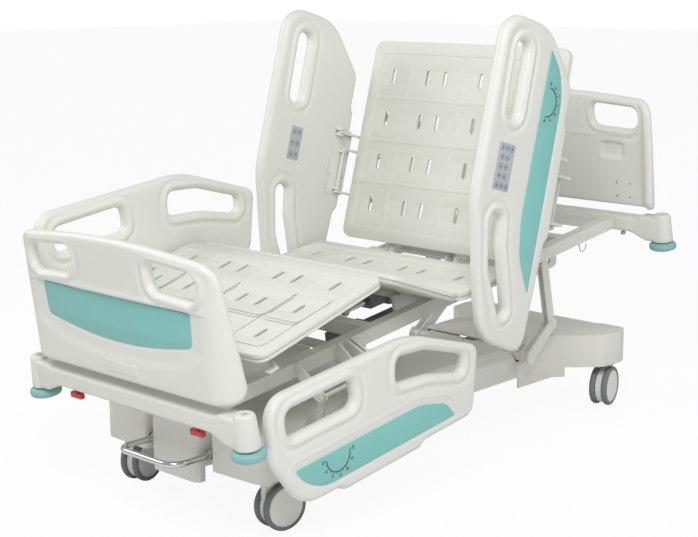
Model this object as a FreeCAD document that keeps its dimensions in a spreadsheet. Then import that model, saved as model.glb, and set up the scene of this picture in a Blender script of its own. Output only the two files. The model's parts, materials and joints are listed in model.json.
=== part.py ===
import FreeCAD, Part
import math
import os
import re
from FreeCAD import Placement, Rotation, Vector

# Electric hospital bed, in millimetres, +Z up, +X to the near side, +Y to the head end.
#
# The bed stands as it is used for sitting up: the deck frame tilted head up, the back section
# raised, the knees raised, three side rails up and the near foot rail down.

doc = FreeCAD.newDocument("hospital_bed")
sheet = doc.addObject("Spreadsheet::Sheet", "Sizes")

# Driving dimensions. Angles are in degrees, all else in millimetres.
SIZES = {
    # rest pose
    "deck_height": 462, "deck_tilt": 7.6, "back_angle": 66.5, "thigh_angle": 27, "calf_slope": 8,
    # play between pieces
    "running_play": 0.05, "slide_play": 0.3, "panel_gap": 3,
    # deck frame
    "tube_inner_x": 245, "tube_wide": 40, "tube_low": 58, "tube_tall": 44,
    "frame_foot": -1010, "frame_head": 1000, "cross_wide": 40,
    # mattress panels
    "panel_half": 428, "panel_thick": 25, "panel_top": 150, "panel_round": 35,
    "member_tall": 20, "member_wide": 20, "member_x": 205,
    "seat_foot": -82, "seat_head": 172, "seat_tube_long": 60,
    "back_hinge_y": 327, "back_hinge_h": 100, "back_slide": 120,
    "back_low": 18, "back_long": 730,
    "thigh_hinge_y": -95, "section_hinge_h": 118, "thigh_long": 350, "calf_long": 535,
    "slot_long": 52, "slot_wide": 14, "slot_pitch": 157,
    "slot_inner_x": 80, "slot_middle_x": 160, "slot_outer_x": 318,
    "hinge_pin_radius": 6, "barrel_wall": 4, "hinge_x": 180,
    # side rails and their swing arms
    "rail_inner_x": 452, "rail_thick": 42, "rail_edge": 12,
    "arm_hinge_x": 375, "arm_reach": 65, "arm_rise": 202.5, "arm_wide": 16, "arm_thick": 8,
    "arm_pivot_drop": 92.5, "arm_elbow_rise": 52, "arm_pin_radius": 8, "rail_pin_radius": 6,
    "link_offset": 35, "link_pin_radius": 5, "lug_thick": 8,
    "head_arm_u": 280, "foot_arm_y": -560,
    "arm_first": -105, "arm_second": 45, "link_place": 105,
    # end boards and beams
    "board_half": 445, "board_wall": 34, "board_round": 95, "board_low": 131, "board_tall": 430,
    "board_depth": 88, "foot_board_face": -1090, "head_board_face": 1086,
    "post_radius": 10, "post_x": 215, "post_long": 62,
    "beam_low": 45, "beam_top": 115, "beam_deep": 68, "foot_beam_face": -1084, "head_beam_face": 1080,
    "corner_x": 458, "corner_y": 1050, "cone_low_radius": 37, "cone_top_radius": 29, "cone_low": 15,
    "socket_radius": 9, "socket_deep": 90,
    "bumper_radius": 49.5, "bumper_thick": 28, "bumper_pin_radius": 7,
    "lock_x": 272, "lock_pin_radius": 6, "lock_long": 54, "lock_tall": 15,
    # base
    "chassis_x": 150, "chassis_wide": 40, "chassis_low": 165, "chassis_tall": 45,
    "stem_x": 305, "foot_stem_y": -830, "head_stem_y": 945, "stem_radius": 14,
    "stem_socket_radius": 24, "stem_socket_top": 236, "stem_low": 152,
    "wheel_radius": 73, "wheel_wide": 22, "wheel_gap": 24, "tread": 11, "axle_radius": 6, "trail": 45,
    "cover_half": 215, "cover_wall": 5, "cover_top": 272, "cover_low": 166,
    "outrigger_half": 362, "head_cover_end": 985, "foot_cover_end": -905, "cover_seam": 500,
    "skirt_half": 104, "skirt_low": 120, "skirt_top": 300,
    "brake_y": -880, "brake_z": 205, "brake_shaft_radius": 8, "brake_bar_radius": 9.5,
    "brake_half": 125, "brake_front": -1030,
    # lift
    "lever_long": 167, "lever_angle": 36.2, "foot_lever_angle": -10.5, "lift_pivot_y": 497,
    "lift_pivot_z": 249, "torsion_radius": 18, "lever_x": 250, "lever_wide": 46,
    "column_rise": 222.5, "column_lean": 50, "knee_pin_radius": 8, "top_pin_radius": 15,
    "lift_span": 985, "bush_wall": 3, "guide_long": 110, "guide_shift": 22, "guide_play": 9,
    "horn_long": 50, "horn_pin_radius": 6,
    # actuators
    "motor_wide": 70, "motor_tall": 62, "motor_long": 180, "tube_motor": 46, "rod_radius": 11,
    "back_crank": 110, "back_rest": 31.5, "knee_crank": 100, "knee_rest": 9.5, "drive_x": 70,
    "release_x": 320, "release_y": 470, "release_axle": 5,
}

for row, (name, number) in enumerate(SIZES.items(), start=1):
    sheet.set(f"A{row}", name)
    sheet.set(f"B{row}", str(number))
    sheet.setAlias(f"B{row}", name)
doc.recompute()


class Sheet:
    """Reads a size back from the sheet by its name."""

    def __getattr__(self, name):
        return float(sheet.get(name))


z = Sheet()
WORD = re.compile(r"[a-z][a-z_]*[a-z]")
X_AXIS = Vector(1, 0, 0)
AXES = {"x": Vector(1, 0, 0), "y": Vector(0, 1, 0), "z": Vector(0, 0, 1)}
PLANES = {"xy": "XY_Plane", "xz": "XZ_Plane", "yz": "YZ_Plane"}


def put(obj, prop, what):
    """Set a property to a number, or tie it to the sheet with a formula that names cells."""
    if isinstance(what, str):
        formula = WORD.sub(lambda m: "Sizes." + m.group(0) if m.group(0) in SIZES else m.group(0), what)
        obj.setExpression(prop, formula)
    else:
        setattr(obj, prop, what)


def box(name, low, wide, long, tall):
    """A block from its lowest corner."""
    obj = doc.addObject("Part::Box", name)
    put(obj, "Length", wide)
    put(obj, "Width", long)
    put(obj, "Height", tall)
    obj.Placement.Base = Vector(*low)
    return obj


def rod(name, start, axis, radius, length):
    """A round bar from the middle of its first end, along x, y or z."""
    obj = doc.addObject("Part::Cylinder", name)
    put(obj, "Radius", radius)
    put(obj, "Height", length)
    obj.Placement = Placement(Vector(*start), Rotation(AXES["z"], AXES[axis]))
    return obj


def cone(name, start, low_radius, top_radius, height):
    """An upright cone from the middle of its foot."""
    obj = doc.addObject("Part::Cone", name)
    put(obj, "Radius1", low_radius)
    put(obj, "Radius2", top_radius)
    put(obj, "Height", height)
    obj.Placement.Base = Vector(*start)
    return obj


def fuse(name, *pieces):
    """Several solids joined into one."""
    obj = doc.addObject("Part::MultiFuse", name)
    obj.Shapes = list(pieces)
    obj.Refine = True
    return obj


def group(name, *pieces):
    """Several separate solids in one sub-part."""
    obj = doc.addObject("Part::Compound", name)
    obj.Links = list(pieces)
    return obj


def cut(name, base, *tools):
    """One solid with others taken out of it."""
    tool = tools[0] if len(tools) == 1 else fuse(name + "_tools", *tools)
    obj = doc.addObject("Part::Cut", name)
    obj.Base = base
    obj.Tool = tool
    return obj


def common(name, first, second):
    """What two solids share."""
    obj = doc.addObject("Part::Common", name)
    obj.Base = first
    obj.Tool = second
    return obj


def corner_edges(corners):
    """Lines and arcs of a closed outline, from corners given as (a, b) or (a, b, radius)."""
    count = len(corners)
    ends = []
    for i, corner in enumerate(corners):
        here = Vector(corner[0], corner[1], 0)
        radius = corner[2] if len(corner) > 2 else 0
        back = Vector(*corners[i - 1][:2], 0) - here
        on = Vector(*corners[(i + 1) % count][:2], 0) - here
        if radius <= 0:
            ends.append((here, None, here))
            continue
        half = back.getAngle(on) / 2
        if half > 1.57:
            ends.append((here, None, here))
            continue
        reach = radius / math.tan(half)
        back.normalize()
        on.normalize()
        middle = back + on
        middle.normalize()
        tip = here + middle * (radius / math.sin(half) - radius)
        ends.append((here + back * reach, tip, here + on * reach))
    edges = []
    for i, (first, tip, last) in enumerate(ends):
        if tip:
            edges.append(Part.Arc(first, tip, last))
        start = ends[(i + 1) % count][0]
        if last.distanceToPoint(start) > 1e-6:
            edges.append(Part.LineSegment(last, start))
    return edges


def slab(name, plane, loops, start, thick):
    """A plate with rounded outlines, filling start to start + thick along the plane's axis."""
    body = doc.addObject("PartDesign::Body", name)
    sketch = body.newObject("Sketcher::SketchObject", name + "_outline")
    datum = [f for f in body.Origin.OriginFeatures if f.Role == PLANES[plane]][0]
    sketch.AttachmentSupport = [(datum, "")]
    sketch.MapMode = "FlatFace"
    for loop in loops:
        edges = [Part.Circle(Vector(*loop[:2], 0), AXES["z"], loop[2])] if isinstance(loop, tuple) \
            else corner_edges(loop)
        for edge in edges:
            sketch.addGeometry(edge, False)
    pad = body.newObject("PartDesign::Pad", name + "_pad")
    pad.Profile = sketch
    put(pad, "Length", thick)
    doc.recompute()
    side = {"xy": Vector(0, 0, start), "yz": Vector(start, 0, 0)}.get(plane)
    body.Placement.Base = side or Vector(0, start + pad.Length.Value, 0)
    return body


def soften(body, radius, wanted):
    """Round the edges of a slab's pad that pass the test."""
    pad = body.Tip
    names = [f"Edge{i}" for i, edge in enumerate(pad.Shape.Edges, start=1) if wanted(edge)]
    fillet = body.newObject("PartDesign::Fillet", body.Name + "_round")
    fillet.Base = (pad, names)
    put(fillet, "Radius", radius)
    doc.recompute()
    return body


def mirrored(name, source):
    """The same piece on the far side of the bed."""
    obj = doc.addObject("Part::Mirroring", name)
    obj.Source = source
    obj.Normal = X_AXIS
    return obj


def flip(corners):
    """An outline seen from the other side: its first coordinate changes sign."""
    return [(-c[0],) + tuple(c[1:]) for c in reversed(corners)]


def both_sides(name, source):
    """A piece and its twin on the far side, still two solids."""
    return [source, mirrored(name, source)]


# Places of the sections, each a frame of its own: y along the section, z up from it.
deck_place = Placement(Vector(0, 0, z.deck_height), Rotation(X_AXIS, z.deck_tilt))
back_place = deck_place * Placement(Vector(0, z.back_hinge_y, z.back_hinge_h), Rotation(X_AXIS, z.back_angle))
thigh_place = deck_place * Placement(Vector(0, z.thigh_hinge_y, z.section_hinge_h),
                                     Rotation(X_AXIS, -z.thigh_angle))
calf_turn = z.thigh_angle + z.calf_slope
calf_place = thigh_place * Placement(Vector(0, -z.thigh_long, 0), Rotation(X_AXIS, calf_turn))
base_place = Placement()
NODES = {}


def finish(node, obj, place):
    """Name a sub-part and put it where its section stands."""
    obj.Label = node
    NODES[node] = (obj, place)
    return obj


# Deck frame: two long tubes, cross tubes, brackets for the columns and for the foot rails.

tube_top = z.tube_low + z.tube_tall
column_head_y = z.lift_pivot_y + z.lever_long * math.cos(math.radians(z.lever_angle)) - z.column_lean
column_head_z = z.lift_pivot_z + z.lever_long * math.sin(math.radians(z.lever_angle)) + z.column_rise
TO_DECK = deck_place.inverse()
head_top = TO_DECK.multVec(Vector(0, column_head_y, column_head_z))
foot_top = Vector(0, head_top.y - z.lift_span, head_top.z)
foot_top_world = deck_place.multVec(foot_top)
foot_knee = foot_top_world + Vector(0, z.column_lean, -z.column_rise)
foot_pivot = foot_knee - Vector(0, z.lever_long * math.cos(math.radians(z.foot_lever_angle)),
                                z.lever_long * math.sin(math.radians(z.foot_lever_angle)))
head_pivot = Vector(0, z.lift_pivot_y, z.lift_pivot_z)
head_knee = head_pivot + Vector(0, z.lever_long * math.cos(math.radians(z.lever_angle)),
                                z.lever_long * math.sin(math.radians(z.lever_angle)))


def deck_cross(name, y):
    """A cross tube between the long tubes, its middle at y."""
    return box(name, (-z.tube_inner_x, y - z.cross_wide / 2, z.tube_low), "2 * tube_inner_x", "cross_wide",
               "tube_tall")


def column_bracket(name, y, h, loop):
    """A plate inside a long tube that holds a column's cross pin."""
    top = z.tube_low + z.tube_tall / 2 + 10
    outline = [(y - 75, top), (y - 75, h, 20), (y - 40, h - 34, 20), (y + 40, h - 34, 20), (y + 75, h, 20),
               (y + 75, top)]
    plate = slab(name, "yz", [outline, loop], z.tube_inner_x - 24, 10)
    spacer = box(name + "_spacer", (z.tube_inner_x - 14, y - 60, z.tube_low + 10), 14, 120, z.tube_tall / 2)
    return fuse(name + "_bracket", plate, spacer)


def rail_ear(name, y, rise):
    """An ear on the outside of a long tube with the bore of a rail arm's pivot."""
    pivot_h = z.back_hinge_h - z.arm_pivot_drop
    end = z.arm_hinge_x + 14
    outline = [(z.tube_inner_x + z.tube_wide, z.tube_low), (z.arm_hinge_x - 14, pivot_h - 14 + rise, 12),
               (end, pivot_h - 14 + rise, 12), (end, pivot_h + 14 + rise, 12),
               (z.tube_inner_x + z.tube_wide + 10, tube_top), (z.tube_inner_x + z.tube_wide, tube_top)]
    return slab(name, "xz", [outline], y, "lug_thick")


def arm_bores(name, y, axis_x, axis_h, long_pin_radius, link_radius):
    """Bore tools for a main arm's pins and for the link's pin, on the axes of one swing."""
    main = rod(name + "_main", (axis_x, y + z.arm_first - 40, axis_h), "y",
               long_pin_radius + z.running_play, z.arm_second - z.arm_first + 70)
    link = rod(name + "_link", (axis_x, y + z.link_place - 28, axis_h + z.link_offset), "y",
               link_radius + z.running_play, 56)
    return [main, link]


def swing_bracket(name, y):
    """The ears of one foot rail's swing on the near side of the deck frame."""
    first = rail_ear(name + "_ear_a", y + z.arm_first - z.arm_thick - z.lug_thick - 2, 0)
    second = rail_ear(name + "_ear_b", y + z.arm_second + 8 + 2, 0)
    third = rail_ear(name + "_ear_c", y + z.link_place - z.arm_thick / 2 - z.lug_thick - 2, z.link_offset)
    fourth = rail_ear(name + "_ear_d", y + z.link_place + z.arm_thick / 2 + 2, z.link_offset)
    tools = arm_bores(name + "_bore", y, z.arm_hinge_x, z.back_hinge_h - z.arm_pivot_drop, z.arm_pin_radius,
                      z.link_pin_radius)
    return cut(name, fuse(name + "_ears", first, second, third, fourth), *tools)


def make_deck_frame():
    long_tube = box("deck_tube", (z.tube_inner_x, z.frame_foot, z.tube_low), "tube_wide",
                    "frame_head - frame_foot", "tube_tall")
    crosses = [deck_cross(f"deck_cross_{i}", y) for i, y in enumerate(
        (z.frame_foot + 20, -700, -330, 20, 440, 710, z.frame_head - 20))]
    bush_hole = (foot_top.y, foot_top.z, z.top_pin_radius + z.bush_wall + 2 * z.running_play)
    foot_bracket = column_bracket("foot_column_plate", foot_top.y, foot_top.z, bush_hole)
    half = z.guide_long / 2
    tall = z.top_pin_radius + z.guide_play
    shift = z.guide_shift
    guide = [(head_top.y - half + shift, head_top.z - tall, tall - 1),
             (head_top.y + half + shift, head_top.z - tall, tall - 1),
             (head_top.y + half + shift, head_top.z + tall, tall - 1),
             (head_top.y - half + shift, head_top.z + tall, tall - 1)]
    plate = slab("head_column_plate", "yz",
                 [[(head_top.y - 70, z.tube_low + 32), (head_top.y - 70, head_top.z - 38, 20),
                   (head_top.y + 112, head_top.z - 38, 20), (head_top.y + 112, z.tube_low + 32)], guide],
                 z.tube_inner_x - 24, 10)
    spacer = box("head_column_spacer", (z.tube_inner_x - 14, head_top.y - 60, z.tube_low + 10), 14, 160, 22)
    seats = [box(f"panel_post_{i}", (x, y, tube_top), "tube_wide", "seat_tube_long",
                 "panel_top - panel_thick - tube_low - tube_tall")
             for i, (x, y) in enumerate([(z.tube_inner_x, 15), (-z.tube_inner_x - z.tube_wide, 15)])]
    hinge = rod("thigh_pin", (-z.hinge_x - 11, z.thigh_hinge_y, z.section_hinge_h), "x",
                "hinge_pin_radius", 2 * z.hinge_x + 22)
    ears = [box(f"thigh_ear_{i}", (x - 5, z.thigh_hinge_y - 12, z.tube_low), 10, 112,
                z.section_hinge_h + z.hinge_pin_radius + 0.5 - z.tube_low)
            for i, x in enumerate((-z.hinge_x + 18, z.hinge_x - 18))]
    rail = swing_bracket("foot_swing", z.foot_arm_y)
    one_side = fuse("deck_side", long_tube, foot_bracket, fuse("head_bracket", plate, spacer), rail)
    frame = fuse("deck_weldment", one_side, mirrored("deck_side_far", one_side), hinge, *crosses, *seats, *ears)
    finish("deck_frame", frame, deck_place)


def beam_profile(sign):
    """The outline of an end beam seen from the end: deeper at its corners."""
    low = z.cone_low
    return [(-z.corner_x, z.beam_top), (z.corner_x, z.beam_top), (z.corner_x, low), (z.corner_x - 45, low, 10),
            (z.corner_x - 125, z.beam_low, 40), (-z.corner_x + 125, z.beam_low, 40),
            (-z.corner_x + 45, low, 10), (-z.corner_x, low)]


def make_beam(node, sign, face):
    """An end beam with its corner cones, pole sockets, board sockets and lock bores."""
    start = face if sign < 0 else face - z.beam_deep
    core = soften(slab(node + "_core", "xz", [beam_profile(sign)], start, "beam_deep"), 8,
                  lambda e: abs(e.CenterOfMass.z - z.beam_top) < 1 and abs(e.BoundBox.XLength) > 50)
    corners = []
    holes = []
    axles = []
    for i, x in enumerate((-z.corner_x, z.corner_x)):
        y = sign * z.corner_y
        corners.append(cone(f"{node}_cone_{i}", (x, y, z.cone_low), "cone_low_radius", "cone_top_radius",
                            "beam_top - cone_low + 3"))
        holes.append(rod(f"{node}_socket_{i}", (x, y, z.beam_top + 3 - z.socket_deep), "z", "socket_radius",
                         "socket_deep + 1"))
        axles.append(rod(f"{node}_axle_{i}", (x, y, -z.bumper_thick / 2 - 4), "z", "bumper_pin_radius",
                         "cone_low + bumper_thick / 2 + 6"))
        axles.append(rod(f"{node}_axle_head_{i}", (x, y, -z.bumper_thick / 2 - 5), "z", 12, 4.5))
    for i, x in enumerate((-z.post_x, z.post_x)):
        y = board_post_y(sign)
        holes.append(rod(f"{node}_post_hole_{i}", (x, y, z.board_low - z.post_long - z.slide_play), "z",
                         "post_radius + slide_play", "post_long + 2"))
    for i, x in enumerate((-z.lock_x, z.lock_x)):
        if sign < 0:
            holes.append(rod(f"{node}_lock_hole_{i}", (x, lock_y(), z.beam_low - 1), "z",
                             "lock_pin_radius + running_play", 50))
    solid = fuse(node + "_solid", core, *corners, *axles)
    finish(node, cut(node, solid, *holes), deck_place)


def board_post_y(sign):
    face = z.foot_board_face if sign < 0 else z.head_board_face
    return face - sign * (z.board_wall / 2 + 8)


def lock_y():
    return z.foot_beam_face + 20


def make_bumper(node, x, y):
    """A round bumper that turns on its pin under a corner cone."""
    disc = slab(node + "_disc", "xy", [(x, y, z.bumper_radius), (x, y, z.bumper_pin_radius + z.running_play)],
                -z.bumper_thick / 2, "bumper_thick")
    soften(disc, 7, lambda e: e.Curve.TypeId == "Part::GeomCircle" and e.Curve.Radius > z.bumper_radius - 1)
    finish(node, disc, deck_place)


def board_plan(sign, face):
    """The outline of an end board seen from above: a shallow U that wraps round the mattress."""
    outer = z.board_half
    inner = z.board_half - z.board_wall + 8
    deep = z.board_depth
    wall = z.board_wall
    r = z.board_round
    return [(-outer, face - sign * deep, 12), (-outer, face, r), (outer, face, r),
            (outer, face - sign * deep, 12), (inner, face - sign * deep, 12),
            (inner, face - sign * wall, r - wall), (-inner, face - sign * wall, r - wall),
            (-inner, face - sign * deep, 12)]


def make_board(node, sign, face):
    """A lift-off end board with two handle openings and two posts that drop into the beam."""
    plan = slab(node + "_plan", "xy", [board_plan(sign, face)], z.board_low, "board_tall")
    top = z.board_low + z.board_tall
    half = z.board_half + 1
    side = [(-half, z.board_low - 5), (-half, top - 26, 40), (0, top + 6, 3000), (half, top - 26, 40),
            (half, z.board_low - 5)]
    crown = slab(node + "_crown", "xz", [side], face - 150, 300)
    away = face - sign * z.board_depth
    rake = [(face + sign, z.board_low - 5), (face + sign, top + 5), (face - sign * (z.board_wall - 4), top + 5),
            (face - sign * (z.board_wall + 4), top - 40), (away + sign * 10, z.board_low + 160, 200),
            (away - sign, z.board_low + 60), (away - sign, z.board_low + 30), (away + sign * 22, z.board_low - 5)]
    lean = slab(node + "_lean", "yz", [rake], -half, 2 * half)
    shaped = common(node + "_shaped", common(node + "_crowned", plan, crown), lean)
    openings = []
    for i, x in enumerate((-270, 270)):
        grip = [(x - 95, top - 58, 30), (x - 92, top - 138, 30), (x + 92, top - 138, 30), (x + 95, top - 58, 30)]
        openings.append(slab(f"{node}_grip_{i}", "xz", [grip], face - 100, 200))
    posts = [rod(f"{node}_post_{i}", (x, board_post_y(sign), z.board_low - z.post_long), "z", "post_radius",
                 "post_long + 10") for i, x in enumerate((-z.post_x, z.post_x))]
    finish(node, fuse(node, cut(node + "_panel", shaped, *openings), *posts), deck_place)


def make_lock(node, x):
    """A board lock: a turning pin in the beam with a flat grip below."""
    pin = rod(node + "_pin", (x, lock_y(), z.beam_low - 12), "z", "lock_pin_radius", 60)
    grip = slab(node + "_grip", "xy", [[(x - z.lock_long / 2, lock_y() - 9, 6), (x + z.lock_long / 2, lock_y() - 9, 6),
                                        (x + z.lock_long / 2, lock_y() + 9, 6),
                                        (x - z.lock_long / 2, lock_y() + 9, 6)]],
                z.beam_low - 12 - z.lock_tall, "lock_tall")
    finish(node, fuse(node, pin, grip), deck_place)


# Mattress panels: moulded slabs with rows of vent slots, on light frames with hinge ears.

def slot_tools(name, rows, thick_from):
    """Vent slots through a panel, in rows along it."""
    tools = []
    for i, y in enumerate(rows):
        for j, x in enumerate((-z.slot_outer_x, -z.slot_middle_x, -z.slot_inner_x, z.slot_inner_x,
                               z.slot_middle_x, z.slot_outer_x)):
            half = z.slot_wide / 2
            tools.append([(x - half, y - z.slot_long / 2, half - 0.1), (x + half, y - z.slot_long / 2, half - 0.1),
                          (x + half, y + z.slot_long / 2, half - 0.1),
                          (x - half, y + z.slot_long / 2, half - 0.1)])
    return tools


def panel(name, low_y, high_y, low_z, rows):
    """A slotted mattress panel with rounded corners."""
    r = z.panel_round
    half = z.panel_half
    outline = [(-half, low_y, r), (half, low_y, r), (half, high_y, r), (-half, high_y, r)]
    return slab(name, "xy", [outline] + slot_tools(name, rows, low_z), low_z, "panel_thick")


def side_members(name, low_y, high_y, low_z):
    """The two long tubes under a hinged panel."""
    return [box(f"{name}_member_{i}", (x - z.member_wide / 2, low_y, low_z), "member_wide", high_y - low_y,
                "member_tall") for i, x in enumerate((-z.member_x, z.member_x))]


def make_seat():
    rows = [(z.seat_foot + z.seat_head) / 2]
    seat = panel("seat_slab", z.seat_foot, z.seat_head, z.panel_top - z.panel_thick, rows)
    finish("seat_panel", seat, deck_place)


def back_swing_bracket(name, u):
    """Ears that reach round the deck tube and carry one head rail's swing."""
    plates = []
    for i, (y, rise) in enumerate(((u + z.arm_first - z.arm_thick - z.lug_thick - 2, 0),
                                   (u + z.arm_second + 8 + 2, 0),
                                   (u + z.link_place - z.arm_thick / 2 - z.lug_thick - 2, z.link_offset),
                                   (u + z.link_place + z.arm_thick / 2 + 2, z.link_offset))):
        low = -z.arm_pivot_drop + rise
        outline = [(z.member_x, 5), (z.arm_hinge_x - 14, 5, 4), (z.arm_hinge_x - 14, low - 14, 12),
                   (z.arm_hinge_x + 14, low - 14, 12), (z.arm_hinge_x + 14, 5 + z.member_tall, 6),
                   (z.member_x, 5 + z.member_tall)]
        plates.append(slab(f"{name}_ear_{i}", "xz", [outline], y, "lug_thick"))
    tools = arm_bores(name + "_bore", u, z.arm_hinge_x, -z.arm_pivot_drop, z.arm_pin_radius, z.link_pin_radius)
    return cut(name, fuse(name + "_ears", *plates), *tools)


def make_back():
    low = z.panel_top - z.back_hinge_h - z.panel_thick
    rows = [z.back_low + z.back_long / 2 + (i - 1.5) * z.slot_pitch for i in range(4)]
    finish("back_panel", panel("back_slab", z.back_low, z.back_low + z.back_long, low, rows), back_place)
    members = side_members("back", -12, z.back_low + z.back_long - 40, 5)
    crosses = [box(f"back_cross_{i}", (-z.member_x, y, 5), "2 * member_x", "member_wide", "member_tall")
               for i, y in enumerate((60, z.back_long * 0.575, z.back_low + z.back_long - 98))]
    near = back_swing_bracket("head_swing", z.head_arm_u)
    barrel = [rod(f"back_barrel_{i}", (x, 0, 0), "x", "hinge_pin_radius + barrel_wall", 22)
              for i, x in enumerate((-z.member_x - 11, z.member_x - 11))]
    bore = rod("back_bore", (-z.member_x - 20, 0, 0), "x", "hinge_pin_radius + running_play",
               2 * z.member_x + 40)
    drop = math.radians(z.back_rest - z.back_angle)
    pin = Vector(0, z.back_crank * math.sin(drop), -z.back_crank * math.cos(drop))
    crank = crank_arm("back_crank_arm", pin, z.drive_x, 60, 25)
    cheeks, release_bores = release_brackets()
    solid = fuse("back_solid", *members, *crosses, near, mirrored("head_swing_far", near), *barrel, *crank,
                 *cheeks)
    finish("back_frame", cut("back_frame", solid, bore, *release_bores), back_place)


def crank_arm(name, pin, x, brace_y, top):
    """Two plates that hang from a section's cross member and hold a drive pin between them."""
    side = 1 if brace_y > 0 else -1
    hull = [(-14 * side, top, 4), (brace_y + 20 * side, top, 4), (brace_y + 20 * side, top - 16, 4),
            (pin.y + 12 * side, pin.z, 8), (pin.y, pin.z - 12, 8), (pin.y - 12 * side, pin.z, 8)]
    plates = [slab(f"{name}_{i}", "yz", [hull], low_x, 8) for i, low_x in enumerate((x - 24, x + 16))]
    shaft = rod(name + "_pin", (x - 20, pin.y, pin.z), "x", "horn_pin_radius", 40)
    return plates + [shaft]


def make_carriage():
    """The carriage that slides along the deck tubes and carries the back hinge pin."""
    y = z.back_hinge_y
    h = z.back_hinge_h
    pin = rod("carriage_pin", (-z.member_x - 26, y, h), "x", "hinge_pin_radius", 2 * z.member_x + 52)
    parts = [pin]
    for i, side in enumerate((-1, 1)):
        x = side * (z.member_x + 16)
        parts.append(box(f"carriage_ear_{i}", (x - 4, y - 62, h - 12), 8, 75, 26))
        shoe_x = z.tube_inner_x if side > 0 else -z.tube_inner_x - z.tube_wide
        parts.append(box(f"carriage_shoe_{i}", (shoe_x, y - 120, tube_top + z.slide_play), "tube_wide", 90, 9))
        arm_x = z.member_x + 13 if side > 0 else -z.tube_inner_x - 10
        parts.append(box(f"carriage_arm_{i}", (arm_x, y - 62, tube_top + z.slide_play),
                         z.tube_inner_x + 10 - z.member_x - 13, 28, 9))
    finish("back_carriage", fuse("back_carriage", *parts), deck_place)


def make_thigh():
    low = z.panel_top - z.section_hinge_h - z.panel_thick
    under = low - z.member_tall
    slab_part = panel("thigh_slab", -z.thigh_long + 9, -9, low, [-z.thigh_long + 100])
    members = side_members("thigh", -z.thigh_long - 12, -30, under)
    ears = [rod(f"thigh_barrel_{i}", (x - 10, 0, 0), "x", "hinge_pin_radius + barrel_wall", 20)
            for i, x in enumerate((-z.hinge_x, z.hinge_x))]
    necks = [box(f"thigh_neck_{i}", (x - 10, -60, -8), 20, 60, 8 + low)
             for i, x in enumerate((-z.hinge_x, z.hinge_x))]
    brace = box("thigh_brace", (-z.member_x, -60, under), "2 * member_x", "member_wide", "member_tall")
    drop = math.radians(z.knee_rest - z.thigh_angle)
    pin = Vector(0, -z.knee_crank * math.sin(drop), -z.knee_crank * math.cos(drop))
    crank = crank_arm("knee_crank_arm", pin, -z.drive_x, -40, low)
    knee_pin = rod("knee_pin", (-z.member_x - 5, -z.thigh_long, 0), "x", "hinge_pin_radius",
                   "2 * member_x + 10")
    bore = rod("thigh_bore", (-z.hinge_x - 30, 0, 0), "x", "hinge_pin_radius + running_play",
               2 * z.hinge_x + 60)
    frame = cut("thigh_under", fuse("thigh_weldment", *members, *ears, *necks, brace, *crank), bore)
    finish("thigh_panel", group("thigh_panel", slab_part, fuse("thigh_frame", frame, knee_pin)), thigh_place)


def make_calf():
    low = z.panel_top - z.section_hinge_h - z.panel_thick
    rows = [-110 - i * z.slot_pitch for i in range(3)]
    slab_part = panel("calf_slab", -z.calf_long, -12, low, rows)
    members = [box(f"calf_member_{i}", (x - 10, -z.calf_long + 60, low - z.member_tall), "member_wide",
                   z.calf_long - 100, "member_tall") for i, x in enumerate((-z.hinge_x, z.hinge_x))]
    barrels = [rod(f"calf_barrel_{i}", (x - 10, 0, 0), "x", "hinge_pin_radius + barrel_wall", 20)
               for i, x in enumerate((-z.hinge_x, z.hinge_x))]
    necks = [box(f"calf_neck_{i}", (x - 10, -70, -8), 20, 70, 8 + low)
             for i, x in enumerate((-z.hinge_x, z.hinge_x))]
    bar = box("calf_bar", (-z.panel_half + 30, -z.calf_long + 60, low - z.member_tall), 2 * z.panel_half - 60,
              "member_wide", "member_tall")
    blocks = [box(f"calf_block_{i}", (x, -z.calf_long + 30, low - 42), 26, 34, 42)
              for i, x in enumerate((-z.panel_half + 8, z.panel_half - 34))]
    bore = rod("calf_bore", (-z.hinge_x - 30, 0, 0), "x", "hinge_pin_radius + running_play",
               2 * z.hinge_x + 60)
    frame = cut("calf_under", fuse("calf_weldment", *members, *barrels, *necks, bar, *blocks), bore)
    finish("calf_panel", group("calf_panel", slab_part, frame), calf_place)


# Side rails: moulded panels with grip openings, each on a swing arm pair and a control link.

HEAD_RAIL = [(-275, 103, 55), (90, 88, 20), (118, 70, 15), (462, 78, 15), (490, 92, 20), (606, 92, 60),
             (768, 262, 170), (764, 496, 85), (180, 492, 260), (-245, 338, 130)]
HEAD_RAIL_HOLES = [
    [(692, 421, 30), (692, 355, 30), (444, 348, 30), (446, 413, 30)],
    [(150, 403, 25), (152, 338, 25), (50, 318, 80), (-148, 226, 16), (-166, 262, 16), (-24, 357, 80)],
]
FOOT_RAIL = [(-994, 541, 75), (-400, 537, 350), (-88, 402, 35), (-138, 187, 45), (-374, 187, 20),
             (-400, 171, 20), (-728, 171, 20), (-756, 186, 20), (-905, 190, 110), (-995, 350, 120)]
FOOT_RAIL_HOLES = [
    [(-930, 488, 28), (-660, 490, 28), (-655, 406, 28), (-932, 406, 28)],
    [(-468, 487, 24), (-340, 468, 120), (-166, 396, 24), (-175, 338, 24), (-330, 386, 120), (-480, 407, 24)],
]


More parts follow.
